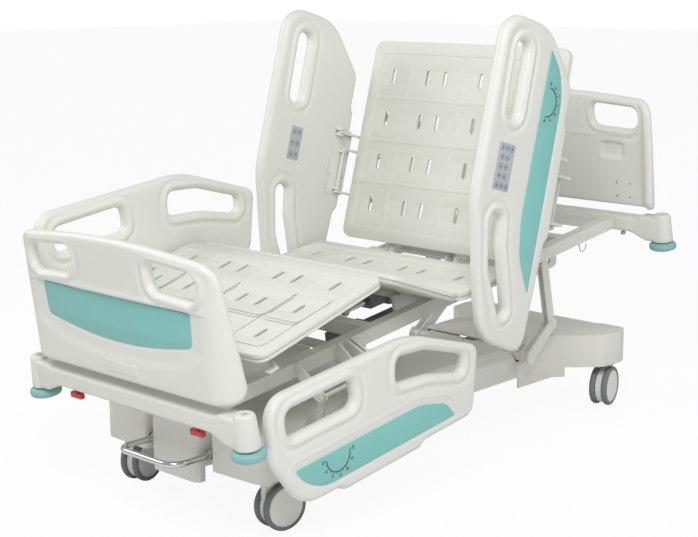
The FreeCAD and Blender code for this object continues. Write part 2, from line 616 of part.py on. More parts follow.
def rail_lugs(name, y, pivot_h):
    """Lugs on a rail's inner face with the bores of its arms and its link."""
    plates = []
    axis_x = z.arm_hinge_x + z.arm_reach
    for i, (low_y, rise) in enumerate(((y + z.arm_first + 2, 0), (y + z.arm_second - 8 - 2, 0),
                                       (y + z.link_place - z.arm_thick / 2 - z.lug_thick - 2, z.link_offset),
                                       (y + z.link_place + z.arm_thick / 2 + 2, z.link_offset))):
        h = pivot_h + rise
        outline = [(axis_x - 10, h - 10, 9), (z.rail_inner_x + 2, h - 16), (z.rail_inner_x + 2, h + 16),
                   (axis_x - 10, h + 10, 9)]
        plates.append(slab(f"{name}_lug_{i}", "xz", [outline], low_y, "lug_thick"))
    tools = arm_bores(name + "_bore", y, axis_x, pivot_h, z.rail_pin_radius, z.link_pin_radius)
    return cut(name, fuse(name + "_lugs", *plates), *tools)


def make_rail(node, outline, holes, swing_y, pivot_h, place, side, drop=0):
    """One side rail. A lowered rail stands lower by the swing's whole drop."""
    shell = slab(node + "_shell", "yz", [outline] + holes, z.rail_inner_x, "rail_thick")
    soften(shell, "rail_edge", lambda e: e.BoundBox.XLength < 0.01)
    plate = box(node + "_plate", (z.rail_inner_x - 1.5, swing_y + z.arm_first - 20, pivot_h - 22), 3,
                z.link_place - z.arm_first + 50, z.link_offset + 40)
    lugs = rail_lugs(node + "_fit", swing_y, pivot_h)
    rail = fuse(node + "_near", shell, plate, lugs)
    if side < 0:
        rail = mirrored(node, rail)
    finish(node, rail, place * Placement(Vector(0, 0, -drop), Rotation()))


def arm_outline(wide):
    """A cranked arm seen from the end of the bed: out round the panel's edge, then straight up."""
    half = wide / 2
    reach = z.arm_reach
    rise = z.arm_rise
    elbow = z.arm_elbow_rise
    return [(-10, -10, 9), (6, -12, 9), (reach + half, elbow - 18, 16), (reach + half, rise + 9, half - 0.5),
            (reach - half, rise + 9, half - 0.5), (reach - half, elbow, 12), (-10, 12, 9)]


def turned(corners, degrees):
    """An outline turned about the origin."""
    c = math.cos(math.radians(degrees))
    n = math.sin(math.radians(degrees))
    return [(a * c - b * n, a * n + b * c, r) for a, b, r in corners]


def make_arm(node, y, pivot_h, place, side, turn=0):
    """A swing arm: two cranked plates on a deck pin, joined by the rail's pin."""
    outline = turned(arm_outline(z.arm_wide), turn)
    end = turned([(z.arm_reach, z.arm_rise, 0)], turn)[0]
    x = z.arm_hinge_x
    place_here = [(a + x, b + pivot_h, r) for a, b, r in outline]
    first = slab(node + "_plate_a", "xz", [place_here], y + z.arm_first - z.arm_thick, "arm_thick")
    second = slab(node + "_plate_b", "xz", [place_here], y + z.arm_second, "arm_thick")
    span = z.arm_second - z.arm_first
    deck_pin = rod(node + "_deck_pin", (x, y + z.arm_first - 22, pivot_h), "y", "arm_pin_radius", span + 44)
    rail_pin = rod(node + "_rail_pin", (x + end[0], y + z.arm_first - 4, pivot_h + end[1]), "y",
                   "rail_pin_radius", span + 8)
    arm = fuse(node + "_near", first, second, deck_pin, rail_pin)
    if side < 0:
        arm = mirrored(node, arm)
    finish(node, arm, place)


def make_link(node, y, pivot_h, place, side, turn=0):
    """The control link beside the arm pair, which keeps the rail upright."""
    outline = turned(arm_outline(z.arm_wide - 2), turn)
    end = turned([(z.arm_reach, z.arm_rise, 0)], turn)[0]
    x = z.arm_hinge_x
    base_h = pivot_h + z.link_offset
    middle = y + z.link_place
    plate = slab(node + "_plate", "xz", [[(a + x, b + base_h, r) for a, b, r in outline]],
                 middle - z.arm_thick / 2, "arm_thick")
    pins = [rod(f"{node}_pin_{i}", (x + a, middle - 16, base_h + b), "y", "link_pin_radius", 32)
            for i, (a, b) in enumerate(((0, 0), end[:2]))]
    link = fuse(node + "_near", plate, *pins)
    if side < 0:
        link = mirrored(node, link)
    finish(node, link, place)


arm_length = math.hypot(z.arm_reach, z.arm_rise)
arm_angle = math.degrees(math.atan2(z.arm_rise, z.arm_reach))
rail_drop = 2 * z.arm_rise


def make_rails():
    sides = {"left": 1, "right": -1}
    for name, side in sides.items():
        pivot = -z.arm_pivot_drop
        make_rail(f"head_rail_{name}", HEAD_RAIL, HEAD_RAIL_HOLES, z.head_arm_u, pivot + z.arm_rise, back_place,
                  side)
        make_arm(f"head_rail_arm_{name}", z.head_arm_u, pivot, back_place, side)
        make_link(f"head_rail_link_{name}", z.head_arm_u, pivot, back_place, side)
        pivot = z.back_hinge_h - z.arm_pivot_drop
        lowered = side > 0
        make_rail(f"foot_rail_{name}", FOOT_RAIL, FOOT_RAIL_HOLES, z.foot_arm_y, pivot + z.arm_rise, deck_place,
                  side, rail_drop if lowered else 0)
        turn = -2 * arm_angle if lowered else 0
        make_arm(f"foot_rail_arm_{name}", z.foot_arm_y, pivot, deck_place, side, turn)
        make_link(f"foot_rail_link_{name}", z.foot_arm_y, pivot, deck_place, side, turn)


# Lift: a lever and a leg at each end, a torsion tube through the base and a horn for the drive.

def lever_plate(name, low_x, thick, start, end, wide, boss):
    """A straight plate between two pivots, wider at its first one."""
    length = (end - start).Length
    angle = math.degrees(math.atan2(end.z - start.z, end.y - start.y))
    half = wide / 2
    corners = [(-boss, -boss, boss - 1), (boss, -boss, 8), (length - half, -half, 8),
               (length + half, -half, half - 1), (length + half, half, half - 1), (boss, half, 8),
               (-boss, boss, boss - 1)]
    plate = slab(name, "yz", [corners], low_x, thick)
    plate.Placement = Placement(Vector(low_x, start.y, start.z), Rotation(X_AXIS, angle))
    return plate


def make_lever(node, pivot, knee, horn_turn):
    """Twin plates each side on a torsion tube, with the drive horn in the middle."""
    tube = rod(node + "_tube", (-z.lever_x - 22, pivot.y, pivot.z), "x", "torsion_radius", 2 * z.lever_x + 44)
    parts = [tube]
    for i, side in enumerate((-1, 1)):
        for j, low_x in enumerate((side * z.lever_x - 18, side * z.lever_x + 12)):
            parts.append(lever_plate(f"{node}_plate_{i}{j}", low_x, 6, pivot, knee, z.lever_wide - 6,
                                     z.lever_wide / 2))
        parts.append(rod(f"{node}_knee_pin_{i}", (side * z.lever_x - 20, knee.y, knee.z), "x",
                         "knee_pin_radius", 40))
        cap = side * (z.lever_x + 18) - (0 if side > 0 else 6)
        parts.append(rod(f"{node}_boss_{i}", (cap, pivot.y, pivot.z), "x", "torsion_radius + 8", 6))
    angle = math.radians(-90 + horn_turn)
    tip = pivot + Vector(0, z.horn_long * math.cos(angle), z.horn_long * math.sin(angle))
    for i, low_x in enumerate((-24, 16)):
        parts.append(lever_plate(f"{node}_horn_{i}", low_x, 8, pivot, tip, 24, z.torsion_radius + 4))
    parts.append(rod(node + "_horn_pin", (-20, tip.y, tip.z), "x", "horn_pin_radius", 40))
    finish(node, fuse(node, *parts), base_place)


def make_column(node, knee, top):
    """A leg: twin plates each side from the knee up to the cross pin under the deck frame."""
    inner = 7
    pieces = []
    for i, side in enumerate((-1, 1)):
        for j, low_x in enumerate((side * z.lever_x - inner - 5, side * z.lever_x + inner)):
            pieces.append(lever_plate(f"{node}_plate_{i}{j}", low_x, 5, knee, top, z.lever_wide - 10, 18))
        web = lever_plate(f"{node}_web_{i}", side * z.lever_x - inner, 2 * inner, knee, top, 10, 9)
        pieces.append(web)
    cross = rod(node + "_cross", (-z.lever_x - 12, top.y, top.z), "x", "top_pin_radius", 2 * z.lever_x + 24)
    bores = [rod(f"{node}_bore_{i}", (side * z.lever_x - 30, knee.y, knee.z), "x",
                 "knee_pin_radius + running_play", 60) for i, side in enumerate((-1, 1))]
    finish(node, cut(node, fuse(node + "_solid", *pieces, cross), *bores), base_place)


def make_bushes():
    """Plain bushes between the foot leg's cross pin and the deck frame's brackets."""
    rings = []
    for i, low_x in enumerate((z.tube_inner_x - 26, -z.tube_inner_x + 12)):
        rings.append(slab(f"bush_{i}", "yz", [
            (foot_top.y, foot_top.z, z.top_pin_radius + z.bush_wall + z.running_play),
            (foot_top.y, foot_top.z, z.top_pin_radius + z.running_play)], low_x, 14))
    finish("pivot_bushes", group("pivot_bushes", *rings), deck_place)


def lift_axis_z(pivot):
    return pivot.z - z.horn_long + 3


def make_lift_drive(end, pivot, horn_turn, motor_y, side):
    """A drive in the base: a motor body and a rod whose slotted eye takes the horn pin."""
    angle = math.radians(-90 + horn_turn)
    pin_y = pivot.y + z.horn_long * math.cos(angle)
    rod_z = lift_axis_z(pivot)
    node = f"lift_motor_{end}"
    body = box(node + "_body", (-z.motor_wide / 2, motor_y, rod_z - z.motor_tall / 2), "motor_wide",
               "motor_long", "motor_tall")
    bore = rod(node + "_bore", (0, motor_y - 1, rod_z), "y", "rod_radius + running_play", z.motor_long + 2)
    finish(node, cut(node, body, bore), base_place)
    near_y = motor_y + z.motor_long if side > 0 else motor_y
    make_rod(f"lift_rod_{end}", near_y, pin_y, rod_z, 0, side, 120, base_place, pivot.z - z.horn_long, 9)


def make_rod(node, near_y, pin_y, axis_z, x, side, inside, place, low_pin_z, rise):
    """A drive rod from inside its motor to a flat eye, whose upright slot lets the pin rise."""
    start = near_y - inside if side > 0 else pin_y + 16
    length = abs(pin_y - near_y) + inside - 16
    bar = rod(node + "_bar", (x, start, axis_z), "y", "rod_radius", length)
    half = z.horn_pin_radius + 2
    low = low_pin_z - half
    high = low + 2 * half + rise
    wall = 7
    outside = [(pin_y - half - wall, low - wall, 8), (pin_y + half + wall, low - wall, 8),
               (pin_y + half + wall, high + wall, 8), (pin_y - half - wall, high + wall, 8)]
    slot = [(pin_y - half, low, 7), (pin_y + half, low, 7), (pin_y + half, high, 7), (pin_y - half, high, 7)]
    eye = slab(node + "_eye", "yz", [outside, slot], x - 13, 26)
    finish(node, fuse(node, bar, eye), place)


def section_drive(node, x, motor_y, tube_y, end_y, axis, hang_y):
    """A drive under the deck: its motor, its outer tube and the foot that hangs it from a cross tube."""
    low = axis - z.motor_tall / 2
    motor = box(node + "_body", (x - z.motor_wide / 2, min(motor_y, tube_y), low), "motor_wide",
                abs(tube_y - motor_y), "motor_tall")
    half = z.tube_motor / 2
    tube = box(node + "_tube", (x - half, min(tube_y, end_y), axis - half), "tube_motor", abs(end_y - tube_y),
               "tube_motor")
    foot = box(node + "_foot", (x - 14, hang_y, axis + half - 2), 28, 20, z.tube_low - axis - half + 2)
    bore = rod(node + "_bore", (x, min(motor_y, end_y) - 1, axis), "y", "rod_radius + running_play",
               abs(end_y - motor_y) + 2)
    finish(node, cut(node, fuse(node + "_solid", motor, tube, foot), bore), deck_place)


def make_deck_drives():
    """The back drive reaches towards the head, the knee drive towards the foot."""
    pin_y = z.back_hinge_y + z.back_crank * math.sin(math.radians(z.back_rest))
    axis = z.back_hinge_h - z.back_crank + 8
    section_drive("back_motor", z.drive_x, -305, -150, 24, axis, 2)
    make_rod("back_rod", 24, pin_y, axis, z.drive_x, 1, 60, deck_place, z.back_hinge_h - z.back_crank, 21)
    pin_y = z.thigh_hinge_y - z.knee_crank * math.sin(math.radians(z.knee_rest))
    axis = z.section_hinge_h - z.knee_crank + 4
    section_drive("knee_motor", -z.drive_x, 240, 90, 6, axis, 10)
    make_rod("knee_rod", 6, pin_y, axis, -z.drive_x, -1, 110, deck_place, z.section_hinge_h - z.knee_crank, 6)


def make_control_unit():
    """The control unit that hangs under the foot end of the deck."""
    unit = box("control_case", (-150, -680, -6), 300, 200, "tube_low + 6")
    soft = doc.addObject("Part::Fillet", "control_round")
    soft.Base = unit
    doc.recompute()
    soft.Edges = [(i, 10.0, 10.0) for i, e in enumerate(unit.Shape.Edges, 1) if e.CenterOfMass.z < 50]
    finish("control_unit", soft, deck_place)


# Base: welded chassis, moulded covers, casters and the brake bar.

def make_chassis():
    long_low = z.foot_stem_y - 20
    runs = [box(f"chassis_tube_{i}", (x - z.chassis_wide / 2, long_low, z.chassis_low), "chassis_wide",
                z.head_stem_y + 20 - long_low, "chassis_tall") for i, x in enumerate((-z.chassis_x, z.chassis_x))]
    parts = list(runs)
    bores = []
    for end, y in (("foot", z.foot_stem_y), ("head", z.head_stem_y)):
        parts.append(box(f"chassis_cross_{end}", (-z.stem_x, y - 20, z.chassis_low), "2 * stem_x", 40,
                         "chassis_tall"))
        for i, x in enumerate((-z.stem_x, z.stem_x)):
            parts.append(rod(f"stem_socket_{end}_{i}", (x, y, z.chassis_low), "z", "stem_socket_radius",
                             "stem_socket_top - chassis_low"))
            bores.append(rod(f"stem_bore_{end}_{i}", (x, y, z.chassis_low - 1), "z",
                             "stem_radius + running_play", "stem_socket_top - chassis_low - 5"))
    for end, pivot in (("foot", foot_pivot), ("head", head_pivot)):
        for i, low_x in enumerate((-z.chassis_x - z.chassis_wide / 2 - 12, z.chassis_x + z.chassis_wide / 2)):
            outline = [(pivot.y - 40, z.chassis_low), (pivot.y + 40, z.chassis_low),
                       (pivot.y + 26, pivot.z + 26, 25), (pivot.y - 26, pivot.z + 26, 25)]
            parts.append(slab(f"lift_bearing_{end}_{i}", "yz", [outline], low_x, 12))
        bores.append(rod(f"lift_bore_{end}", (-230, pivot.y, pivot.z), "x", "torsion_radius + running_play", 460))
    for i, low_x in enumerate((-170, 158)):
        parts.append(box(f"brake_bearing_{i}", (low_x, z.brake_y - 16, z.brake_z - 18), 12,
                         z.foot_stem_y - 20 - z.brake_y + 18, 36))
    bores.append(rod("brake_bore", (-175, z.brake_y, z.brake_z), "x", "brake_shaft_radius + running_play", 350))
    for end, y in (("foot", -290), ("foot_two", -180), ("head", 150), ("head_two", 260)):
        seat = lift_axis_z(foot_pivot) - z.motor_tall / 2
        parts.append(box(f"motor_cross_{end}", (-z.chassis_x, y, z.chassis_low), "2 * chassis_x", 30,
                         seat - z.chassis_low))
    finish("base_frame", cut("base_frame", fuse("chassis_weldment", *parts), *bores), base_place)


def hollow_cover(name, plan, inner, low, top):
    """A moulded cover: an outline pulled up to its top, hollow and open below."""
    outside = slab(name + "_out", "xy", [plan], low, top - low)
    inside = slab(name + "_in", "xy", [inner], low - 1, top - low + 1 - z.cover_wall)
    return outside, inside


foot_seam = foot_pivot.y + 3


def mirror_outline(right):
    """A closed outline from its right half, listed from the middle of one end to the other."""
    left = [(-c[0],) + tuple(c[1:]) for c in reversed(right)]
    return right + left


def make_head_cover():
    w = z.cover_half
    o = z.outrigger_half
    end = z.head_cover_end
    t = z.cover_wall
    plan = mirror_outline([(w, z.cover_seam), (w + 5, 705, 40), (o - 10, 830, 60), (o, end - 60, 30),
                           (o - 14, end, 32), (stem_inner(), end, 10), (stem_inner() - 30, end - 12, 10)])
    inner = mirror_outline([(w - t, z.cover_seam - 1), (w + 5 - t, 707, 44), (o - 10 - t, 832, 56),
                            (o - t, end - 60, 26), (o - 14 - t, end - t, 27), (stem_inner() + 1, end - t, 10),
                            (stem_inner() - 29, end - 12 - t, 10)])
    outside, inside = hollow_cover("head_cover", plan, inner, z.cover_low - 40, z.cover_top + 10)
    trims = [box(f"head_cover_trim_{i}", (x, 735, z.cover_low - 60), 230, 300, 56)
             for i, x in enumerate((150, -380))]
    trims.append(box("head_cover_end_trim", (-200, 900, z.cover_low - 60), 400, 120, 60))
    finish("base_cover_head", cut("base_cover_head", outside, inside, lift_hole("head_cover_hole", head_pivot),
                                  *trims), base_place)


def stem_inner():
    return z.stem_x - 55


def lift_hole(name, pivot):
    """Room in the covers for the torsion tube."""
    return rod(name, (-260, pivot.y, pivot.z - 4), "x", "torsion_radius + 4", 520)


def lid_notches(name, pivot):
    """Room in the middle cover's top for the lift bearings and the drive horn."""
    side = z.chassis_x + z.chassis_wide / 2
    bearings = [box(f"{name}_{i}", (x, pivot.y - 43, z.cover_top - 25), 16, 86, 50)
                for i, x in enumerate((side - 2, -side - 14))]
    return bearings + [box(name + "_horn", (-28, pivot.y - 30, z.cover_top - 25), 56, 60, 50)]


def make_middle_cover():
    w = z.cover_half
    t = z.cover_wall
    low = foot_seam + 0.5
    high = z.cover_seam - 0.5
    profile = [(-w, z.cover_low), (-w, z.cover_top - 28, 10), (-w + 40, z.cover_top, 20),
               (w - 40, z.cover_top, 20), (w, z.cover_top - 28, 10), (w, z.cover_low)]
    inner = [(-w + t, z.cover_low - 1), (-w + t, z.cover_top - 28 - t, 8), (-w + 40 + t, z.cover_top - t, 16),
             (w - 40 - t, z.cover_top - t, 16), (w - t, z.cover_top - 28 - t, 8), (w - t, z.cover_low - 1)]
    outside = slab("middle_cover_out", "xz", [profile], low, high - low)
    inside = slab("middle_cover_in", "xz", [inner], low - 1, high - low + 2)
    finish("base_cover_middle", cut("base_cover_middle", outside, inside,
                                    lift_hole("middle_hole_head", head_pivot),
                                    lift_hole("middle_hole_foot", foot_pivot),
                                    *lid_notches("middle_notch_head", head_pivot),
                                    *lid_notches("middle_notch_foot", foot_pivot)), base_place)


def make_foot_cover():
    w = z.cover_half
    o = z.outrigger_half
    end = z.foot_cover_end
    t = z.cover_wall
    plan = mirror_outline([(w, foot_seam), (w + 8, foot_seam - 60, 50), (o - 22, foot_seam - 210, 100),
                           (o, end + 70, 30), (o - 20, end + 8, 32), (150, end, 14), (144, end + 45, 8),
                           (z.skirt_half + 4, end + 45, 6), (z.skirt_half, end - 14, 20)])
    inner = mirror_outline([(w - t, foot_seam + 1), (w + 8 - t, foot_seam - 62, 50),
                            (o - 22 - t, foot_seam - 212, 95), (o - t, end + 70, 26), (o - 20 - t, end + 8 + t, 27),
                            (150 + t, end + t, 10), (144 + t, end + 45 + t, 8), (z.skirt_half - t, end + 45 + t, 6),
                            (z.skirt_half - t, end - 14 + t, 16)])
    outside, inside = hollow_cover("foot_cover", plan, inner, z.cover_low, z.cover_top + 10)
    skirt = slab("foot_skirt", "xy", [[(-z.skirt_half, end + 20, 4), (-z.skirt_half, end - 14, 20),
                                       (z.skirt_half, end - 14, 20), (z.skirt_half, end + 20, 4)]],
                 z.skirt_low, "skirt_top - skirt_low")
    room = slab("foot_skirt_room", "xy", [[(-z.skirt_half + t, end + 25), (-z.skirt_half + t, end - 14 + t, 16),
                                           (z.skirt_half - t, end - 14 + t, 16), (z.skirt_half - t, end + 25)]],
                z.skirt_low - 1, "skirt_top - skirt_low - cover_wall + 1")
    shaft_hole = rod("foot_cover_shaft_hole", (-190, z.brake_y, z.brake_z), "x", "brake_shaft_radius + 3", 380)
    shell = cut("foot_cover_shell", fuse("foot_cover_solid", outside, skirt), inside, room, shaft_hole,
                lift_hole("foot_cover_hole", foot_pivot))
    finish("base_cover_foot", shell, base_place)


def make_caster(corner, x, y, trail_side, swivel):
    """A twin-wheel caster: a stem in the base, a housing between the wheels, and the wheels."""
    r = z.wheel_radius
    half_gap = z.wheel_gap / 2
    wheel_y = trail_side * z.trail
    stem = rod(f"caster_stem_{corner}", (0, 0, z.stem_low - 4), "z", "stem_radius",
               "stem_socket_top - stem_low - 8")
    collar = rod(f"caster_collar_{corner}", (0, 0, r + 70), "z", 21, z.stem_low + 9 - r - 70)
    disc = slab(f"caster_disc_{corner}", "yz", [(wheel_y, r, r - 9)], -half_gap + 1.5, z.wheel_gap - 3)
    neck = box(f"caster_neck_{corner}", (-half_gap + 1.5, -14 if trail_side > 0 else -30, r + 20), z.wheel_gap - 3,
               44, z.stem_low - r - 22)
    axle = rod(f"caster_axle_{corner}", (-half_gap - z.wheel_wide + 4.3, wheel_y, r), "x", "axle_radius",
               z.wheel_gap + 2 * z.wheel_wide - 8.6)
    turn = Placement(Vector(x, y, 0), Rotation(AXES["z"], swivel))
    finish(f"caster_fork_{corner}", fuse(f"caster_fork_{corner}", stem, collar, disc, neck, axle),
           base_place * turn)
    wheels = []
    for i, low_x in enumerate((-half_gap - z.wheel_wide, half_gap)):
        outside = low_x if i == 0 else low_x + z.wheel_wide - 4
        tread = slab(f"caster_tread_{corner}_{i}", "yz", [(wheel_y, r, r), (wheel_y, r, r - z.tread)], low_x,
                     "wheel_wide")
        soften(tread, 6, lambda e: e.Curve.TypeId == "Part::GeomCircle" and e.Curve.Radius > r - 1)
        hub_low = low_x + 4 if i == 0 else low_x
        hub = slab(f"caster_hub_{corner}_{i}", "yz", [(wheel_y, r, r - z.tread),
                                                    (wheel_y, r, z.axle_radius + z.running_play)], hub_low,
                   z.wheel_wide - 4)
        cap = slab(f"caster_cap_{corner}_{i}", "yz", [(wheel_y, r, r - z.tread)], outside, 4)
        wheels += [tread, fuse(f"caster_centre_{corner}_{i}", hub, cap)]
    finish(f"caster_wheels_{corner}", group(f"caster_wheels_{corner}", *wheels), base_place * turn)


CASTERS = {"foot_left": (1, -1, 1, -9), "foot_right": (-1, -1, 1, 12),
           "head_left": (1, 1, -1, 13), "head_right": (-1, 1, -1, -8)}


def make_casters():
    for corner, (side, end, trail_side, swivel) in CASTERS.items():
        y = z.head_stem_y if end > 0 else z.foot_stem_y
        make_caster(corner, side * z.stem_x, y, trail_side, swivel)


def make_brake():
    """The foot bar that locks the casters: a chromed loop clamped on a cross shaft."""
    shaft = rod("brake_shaft_bar", (-172, z.brake_y, z.brake_z), "x", "brake_shaft_radius", 344)
    finish("brake_shaft", shaft, base_place)
    half = z.brake_half
    bend = 45
    back = Vector(-half, z.brake_y, z.brake_z)
    left = Vector(-half, z.brake_front + bend, z.brake_z)
    right = Vector(half, z.brake_front + bend, z.brake_z)
    middle_left = Vector(-half + bend * (1 - math.sqrt(0.5)), z.brake_front + bend * (1 - math.sqrt(0.5)), z.brake_z)
    middle_right = Vector(-middle_left.x, middle_left.y, z.brake_z)
    path = Part.Wire([
        Part.LineSegment(back, left).toShape(),
        Part.Arc(left, middle_left, Vector(-half + bend, z.brake_front, z.brake_z)).toShape(),
        Part.LineSegment(Vector(-half + bend, z.brake_front, z.brake_z),
                         Vector(half - bend, z.brake_front, z.brake_z)).toShape(),
        Part.Arc(Vector(half - bend, z.brake_front, z.brake_z), middle_right, right).toShape(),
        Part.LineSegment(right, Vector(half, z.brake_y, z.brake_z)).toShape()])
    ring = Part.Wire([Part.Circle(back, Vector(0, -1, 0), z.brake_bar_radius).toShape()])
    tube = path.makePipeShell([ring], True, True)
    loop = doc.addObject("Part::Feature", "brake_loop")
    loop.Shape = tube
    hubs = [rod(f"brake_hub_{i}", (x - 12, z.brake_y, z.brake_z), "x", 15, 24) for i, x in enumerate((-half, half))]
    bore = rod("brake_hub_bore", (-half - 20, z.brake_y, z.brake_z), "x", "brake_shaft_radius", 2 * half + 40)
    finish("brake_bar", cut("brake_bar", fuse("brake_bar_solid", loop, *hubs), bore), base_place)


def make_release_handle(node, side):
    """The emergency back release: a grip that pivots between cheeks under the back frame's edge."""
    x = side * z.release_x
    y = z.release_y
    grip = slab(node + "_grip", "yz", [[(y - 12, -34, 10), (y + 12, -34, 10), (y + 22, -126, 8),
                                        (y - 10, -126, 8)]], x - 18, 36)
    axle = rod(node + "_axle", (x - 29, y, -46), "x", "release_axle", 58)
    finish(node, fuse(node, grip, axle), back_place)


def release_brackets():
    """Cheeks and arms on the back frame that hold the release handles' axles."""
    solids = []
    bores = []
    for i, side in enumerate((-1, 1)):
        x = side * z.release_x
        for j, low_x in enumerate((x - 27, x + 21)):
            solids.append(box(f"release_cheek_{i}{j}", (low_x, z.release_y - 12, -58), 6, 24, 83))
        inner = z.member_x if side > 0 else x - 27
        solids.append(box(f"release_arm_{i}", (inner, z.release_y - 12, 5), z.release_x + 27 - z.member_x, 24,
                          "member_tall"))
        bores.append(rod(f"release_bore_{i}", (x - 40, z.release_y, -46), "x", "release_axle + running_play", 80))
    return solids, bores


def make_all():
    make_deck_frame()
    make_beam("foot_beam", -1, z.foot_beam_face)
    make_beam("head_beam", 1, z.head_beam_face)
    for end, sign in (("foot", -1), ("head", 1)):
        for name, side in (("left", 1), ("right", -1)):
            make_bumper(f"bumper_{end}_{name}", side * z.corner_x, sign * z.corner_y)
    make_board("footboard", -1, z.foot_board_face)
    make_board("headboard", 1, z.head_board_face)
    make_lock("board_lock_left", z.lock_x)
    make_lock("board_lock_right", -z.lock_x)
    make_seat()
    make_back()
    make_release_handle("release_handle_left", 1)
    make_release_handle("release_handle_right", -1)
    make_carriage()
    make_thigh()
    make_calf()
    make_rails()
    make_lever("foot_lever", foot_pivot, foot_knee, -15)
    make_lever("head_lever", head_pivot, head_knee, 24)
    make_column("foot_column", foot_knee, foot_top_world)
    make_column("head_column", head_knee, deck_place.multVec(head_top))
    make_bushes()
    make_lift_drive("foot", foot_pivot, -15, -310, -1)
    make_lift_drive("head", head_pivot, 24, 130, 1)
    make_deck_drives()
    make_control_unit()
    make_chassis()
    make_head_cover()
    make_middle_cover()
    make_foot_cover()
    make_casters()
    make_brake()
    doc.recompute()


def centre_and_write():
    """Move the bed so that its box is centred over the origin, check each sub-part and write it."""
    whole = FreeCAD.BoundBox()
    for obj, place in NODES.values():
        obj.Placement = place * obj.Placement
    doc.recompute()
    for obj, place in NODES.values():
        whole.add(obj.Shape.optimalBoundingBox(False, False))
    shift = Vector(-whole.Center.x, -whole.Center.y, -whole.ZMin)
    for obj, place in NODES.values():
        obj.Placement.Base = obj.Placement.Base + shift
    doc.recompute()
    failed = [o.Name for o in doc.Objects if "Invalid" in o.State or "Error" in o.State]
    if failed:
        raise RuntimeError("failed objects: " + ", ".join(failed))
    os.makedirs("parts", exist_ok=True)
    for node, (obj, place) in NODES.items():
        if obj.Shape.isNull() or not obj.Shape.isValid():
            raise RuntimeError("bad shape: " + node)
        obj.Shape.exportStep(f"parts/{node}.step")
    print(f"{len(NODES)} sub-parts, box {whole.XLength:.1f} x {whole.YLength:.1f} x {whole.ZLength:.1f} mm, "
          f"moved by {shift.x:.3f}, {shift.y:.3f}, {shift.z:.3f}")
    return shift


make_all()
SHIFT = centre_and_write()
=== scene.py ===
# %% [markdown]
# An electric hospital bed, dressed for its photograph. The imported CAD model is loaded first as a
# fixed frame. It holds every tube, hinge and wheel at its true place, and the pieces below are
# modelled over it: the moulded rails and end boards, the mattress panels, the covers and casters.

# %% Load the frame
import json
import math

import bpy
import numpy as np
from mathutils import Matrix, Vector

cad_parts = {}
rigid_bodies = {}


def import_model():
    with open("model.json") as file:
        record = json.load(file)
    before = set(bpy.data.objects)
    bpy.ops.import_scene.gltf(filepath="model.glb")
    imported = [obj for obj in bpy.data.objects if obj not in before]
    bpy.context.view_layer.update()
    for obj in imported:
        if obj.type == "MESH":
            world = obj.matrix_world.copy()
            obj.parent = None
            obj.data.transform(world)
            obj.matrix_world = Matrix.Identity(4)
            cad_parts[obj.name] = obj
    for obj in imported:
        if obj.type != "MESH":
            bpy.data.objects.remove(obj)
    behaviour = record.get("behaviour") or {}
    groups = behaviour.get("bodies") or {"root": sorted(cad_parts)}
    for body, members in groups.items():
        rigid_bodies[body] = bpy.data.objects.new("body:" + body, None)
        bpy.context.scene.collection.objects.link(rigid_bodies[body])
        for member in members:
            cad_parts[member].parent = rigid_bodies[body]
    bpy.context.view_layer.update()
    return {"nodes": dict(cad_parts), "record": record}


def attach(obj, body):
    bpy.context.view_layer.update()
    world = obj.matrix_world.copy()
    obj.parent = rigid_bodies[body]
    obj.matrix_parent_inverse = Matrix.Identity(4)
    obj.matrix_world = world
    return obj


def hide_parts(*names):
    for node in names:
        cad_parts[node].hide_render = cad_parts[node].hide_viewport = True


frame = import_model()
scene = bpy.context.scene

# %% [markdown]
# The mattress frame tilts head up, and each section is hinged on it. One matrix for each section
# lets a piece be measured flat, along the section and up from it, and then be put in its place.

# %% Places of the tilted sections
CENTRE_SHIFT = 0.031783
DECK = Matrix.Translation((0, CENTRE_SHIFT, 0.462)) @ Matrix.Rotation(math.radians(7.6), 4, "X")
BACK = DECK @ Matrix.Translation((0, 0.327, 0.1)) @ Matrix.Rotation(math.radians(66.5), 4, "X")
THIGH = DECK @ Matrix.Translation((0, -0.095, 0.118)) @ Matrix.Rotation(math.radians(-27), 4, "X")
CALF = THIGH @ Matrix.Translation((0, -0.35, 0)) @ Matrix.Rotation(math.radians(35), 4, "X")
FLOOR = Matrix.Translation((0, CENTRE_SHIFT, 0))
MIRROR = Matrix.Scale(-1, 4, (1, 0, 0))
# An outline drawn on x, y stands on its edge: first along the bed and up, then across it and up.
ALONG = Matrix(((0, 0, 1, 0), (1, 0, 0, 0), (0, 1, 0, 0), (0, 0, 0, 1)))
ACROSS = Matrix(((1, 0, 0, 0), (0, 0, -1, 0), (0, 1, 0, 0), (0, 0, 0, 1)))
print("deck tilt 7.6 degrees, back 66.5, thigh 27, calf -8")

# %% [markdown]
# An operator acts on everything that is selected, so each step starts by clearing the selection.
# A finished piece keeps its place in its mesh and its object at the origin, as the CAD parts do,
# so that patterns on object coordinates lie the same way on neighbours.

# %% Helpers for picking, placing and finishing
MERGE = 0.00002


def only(obj):
    """Leave one object selected and active."""
    for other in bpy.context.view_layer.objects:
        other.select_set(False)
    obj.select_set(True)
    bpy.context.view_layer.objects.active = obj
    return obj


def settle(obj, place=None):
    """Move the object's place, and one more if given, into its mesh."""
    bpy.context.view_layer.update()
    whole = (place or Matrix()) @ obj.matrix_world
    obj.data.transform(whole)
    if whole.determinant() < 0:
        obj.data.flip_normals()
    obj.matrix_world = Matrix()
    return obj


def modify(obj, kind, **values):
    """Add a modifier, set it and apply it."""
    only(obj)
    step = obj.modifiers.new(kind.title(), kind)
    for name, value in values.items():
        setattr(step, name, value)
    bpy.ops.object.modifier_apply(modifier=step.name)
    return obj


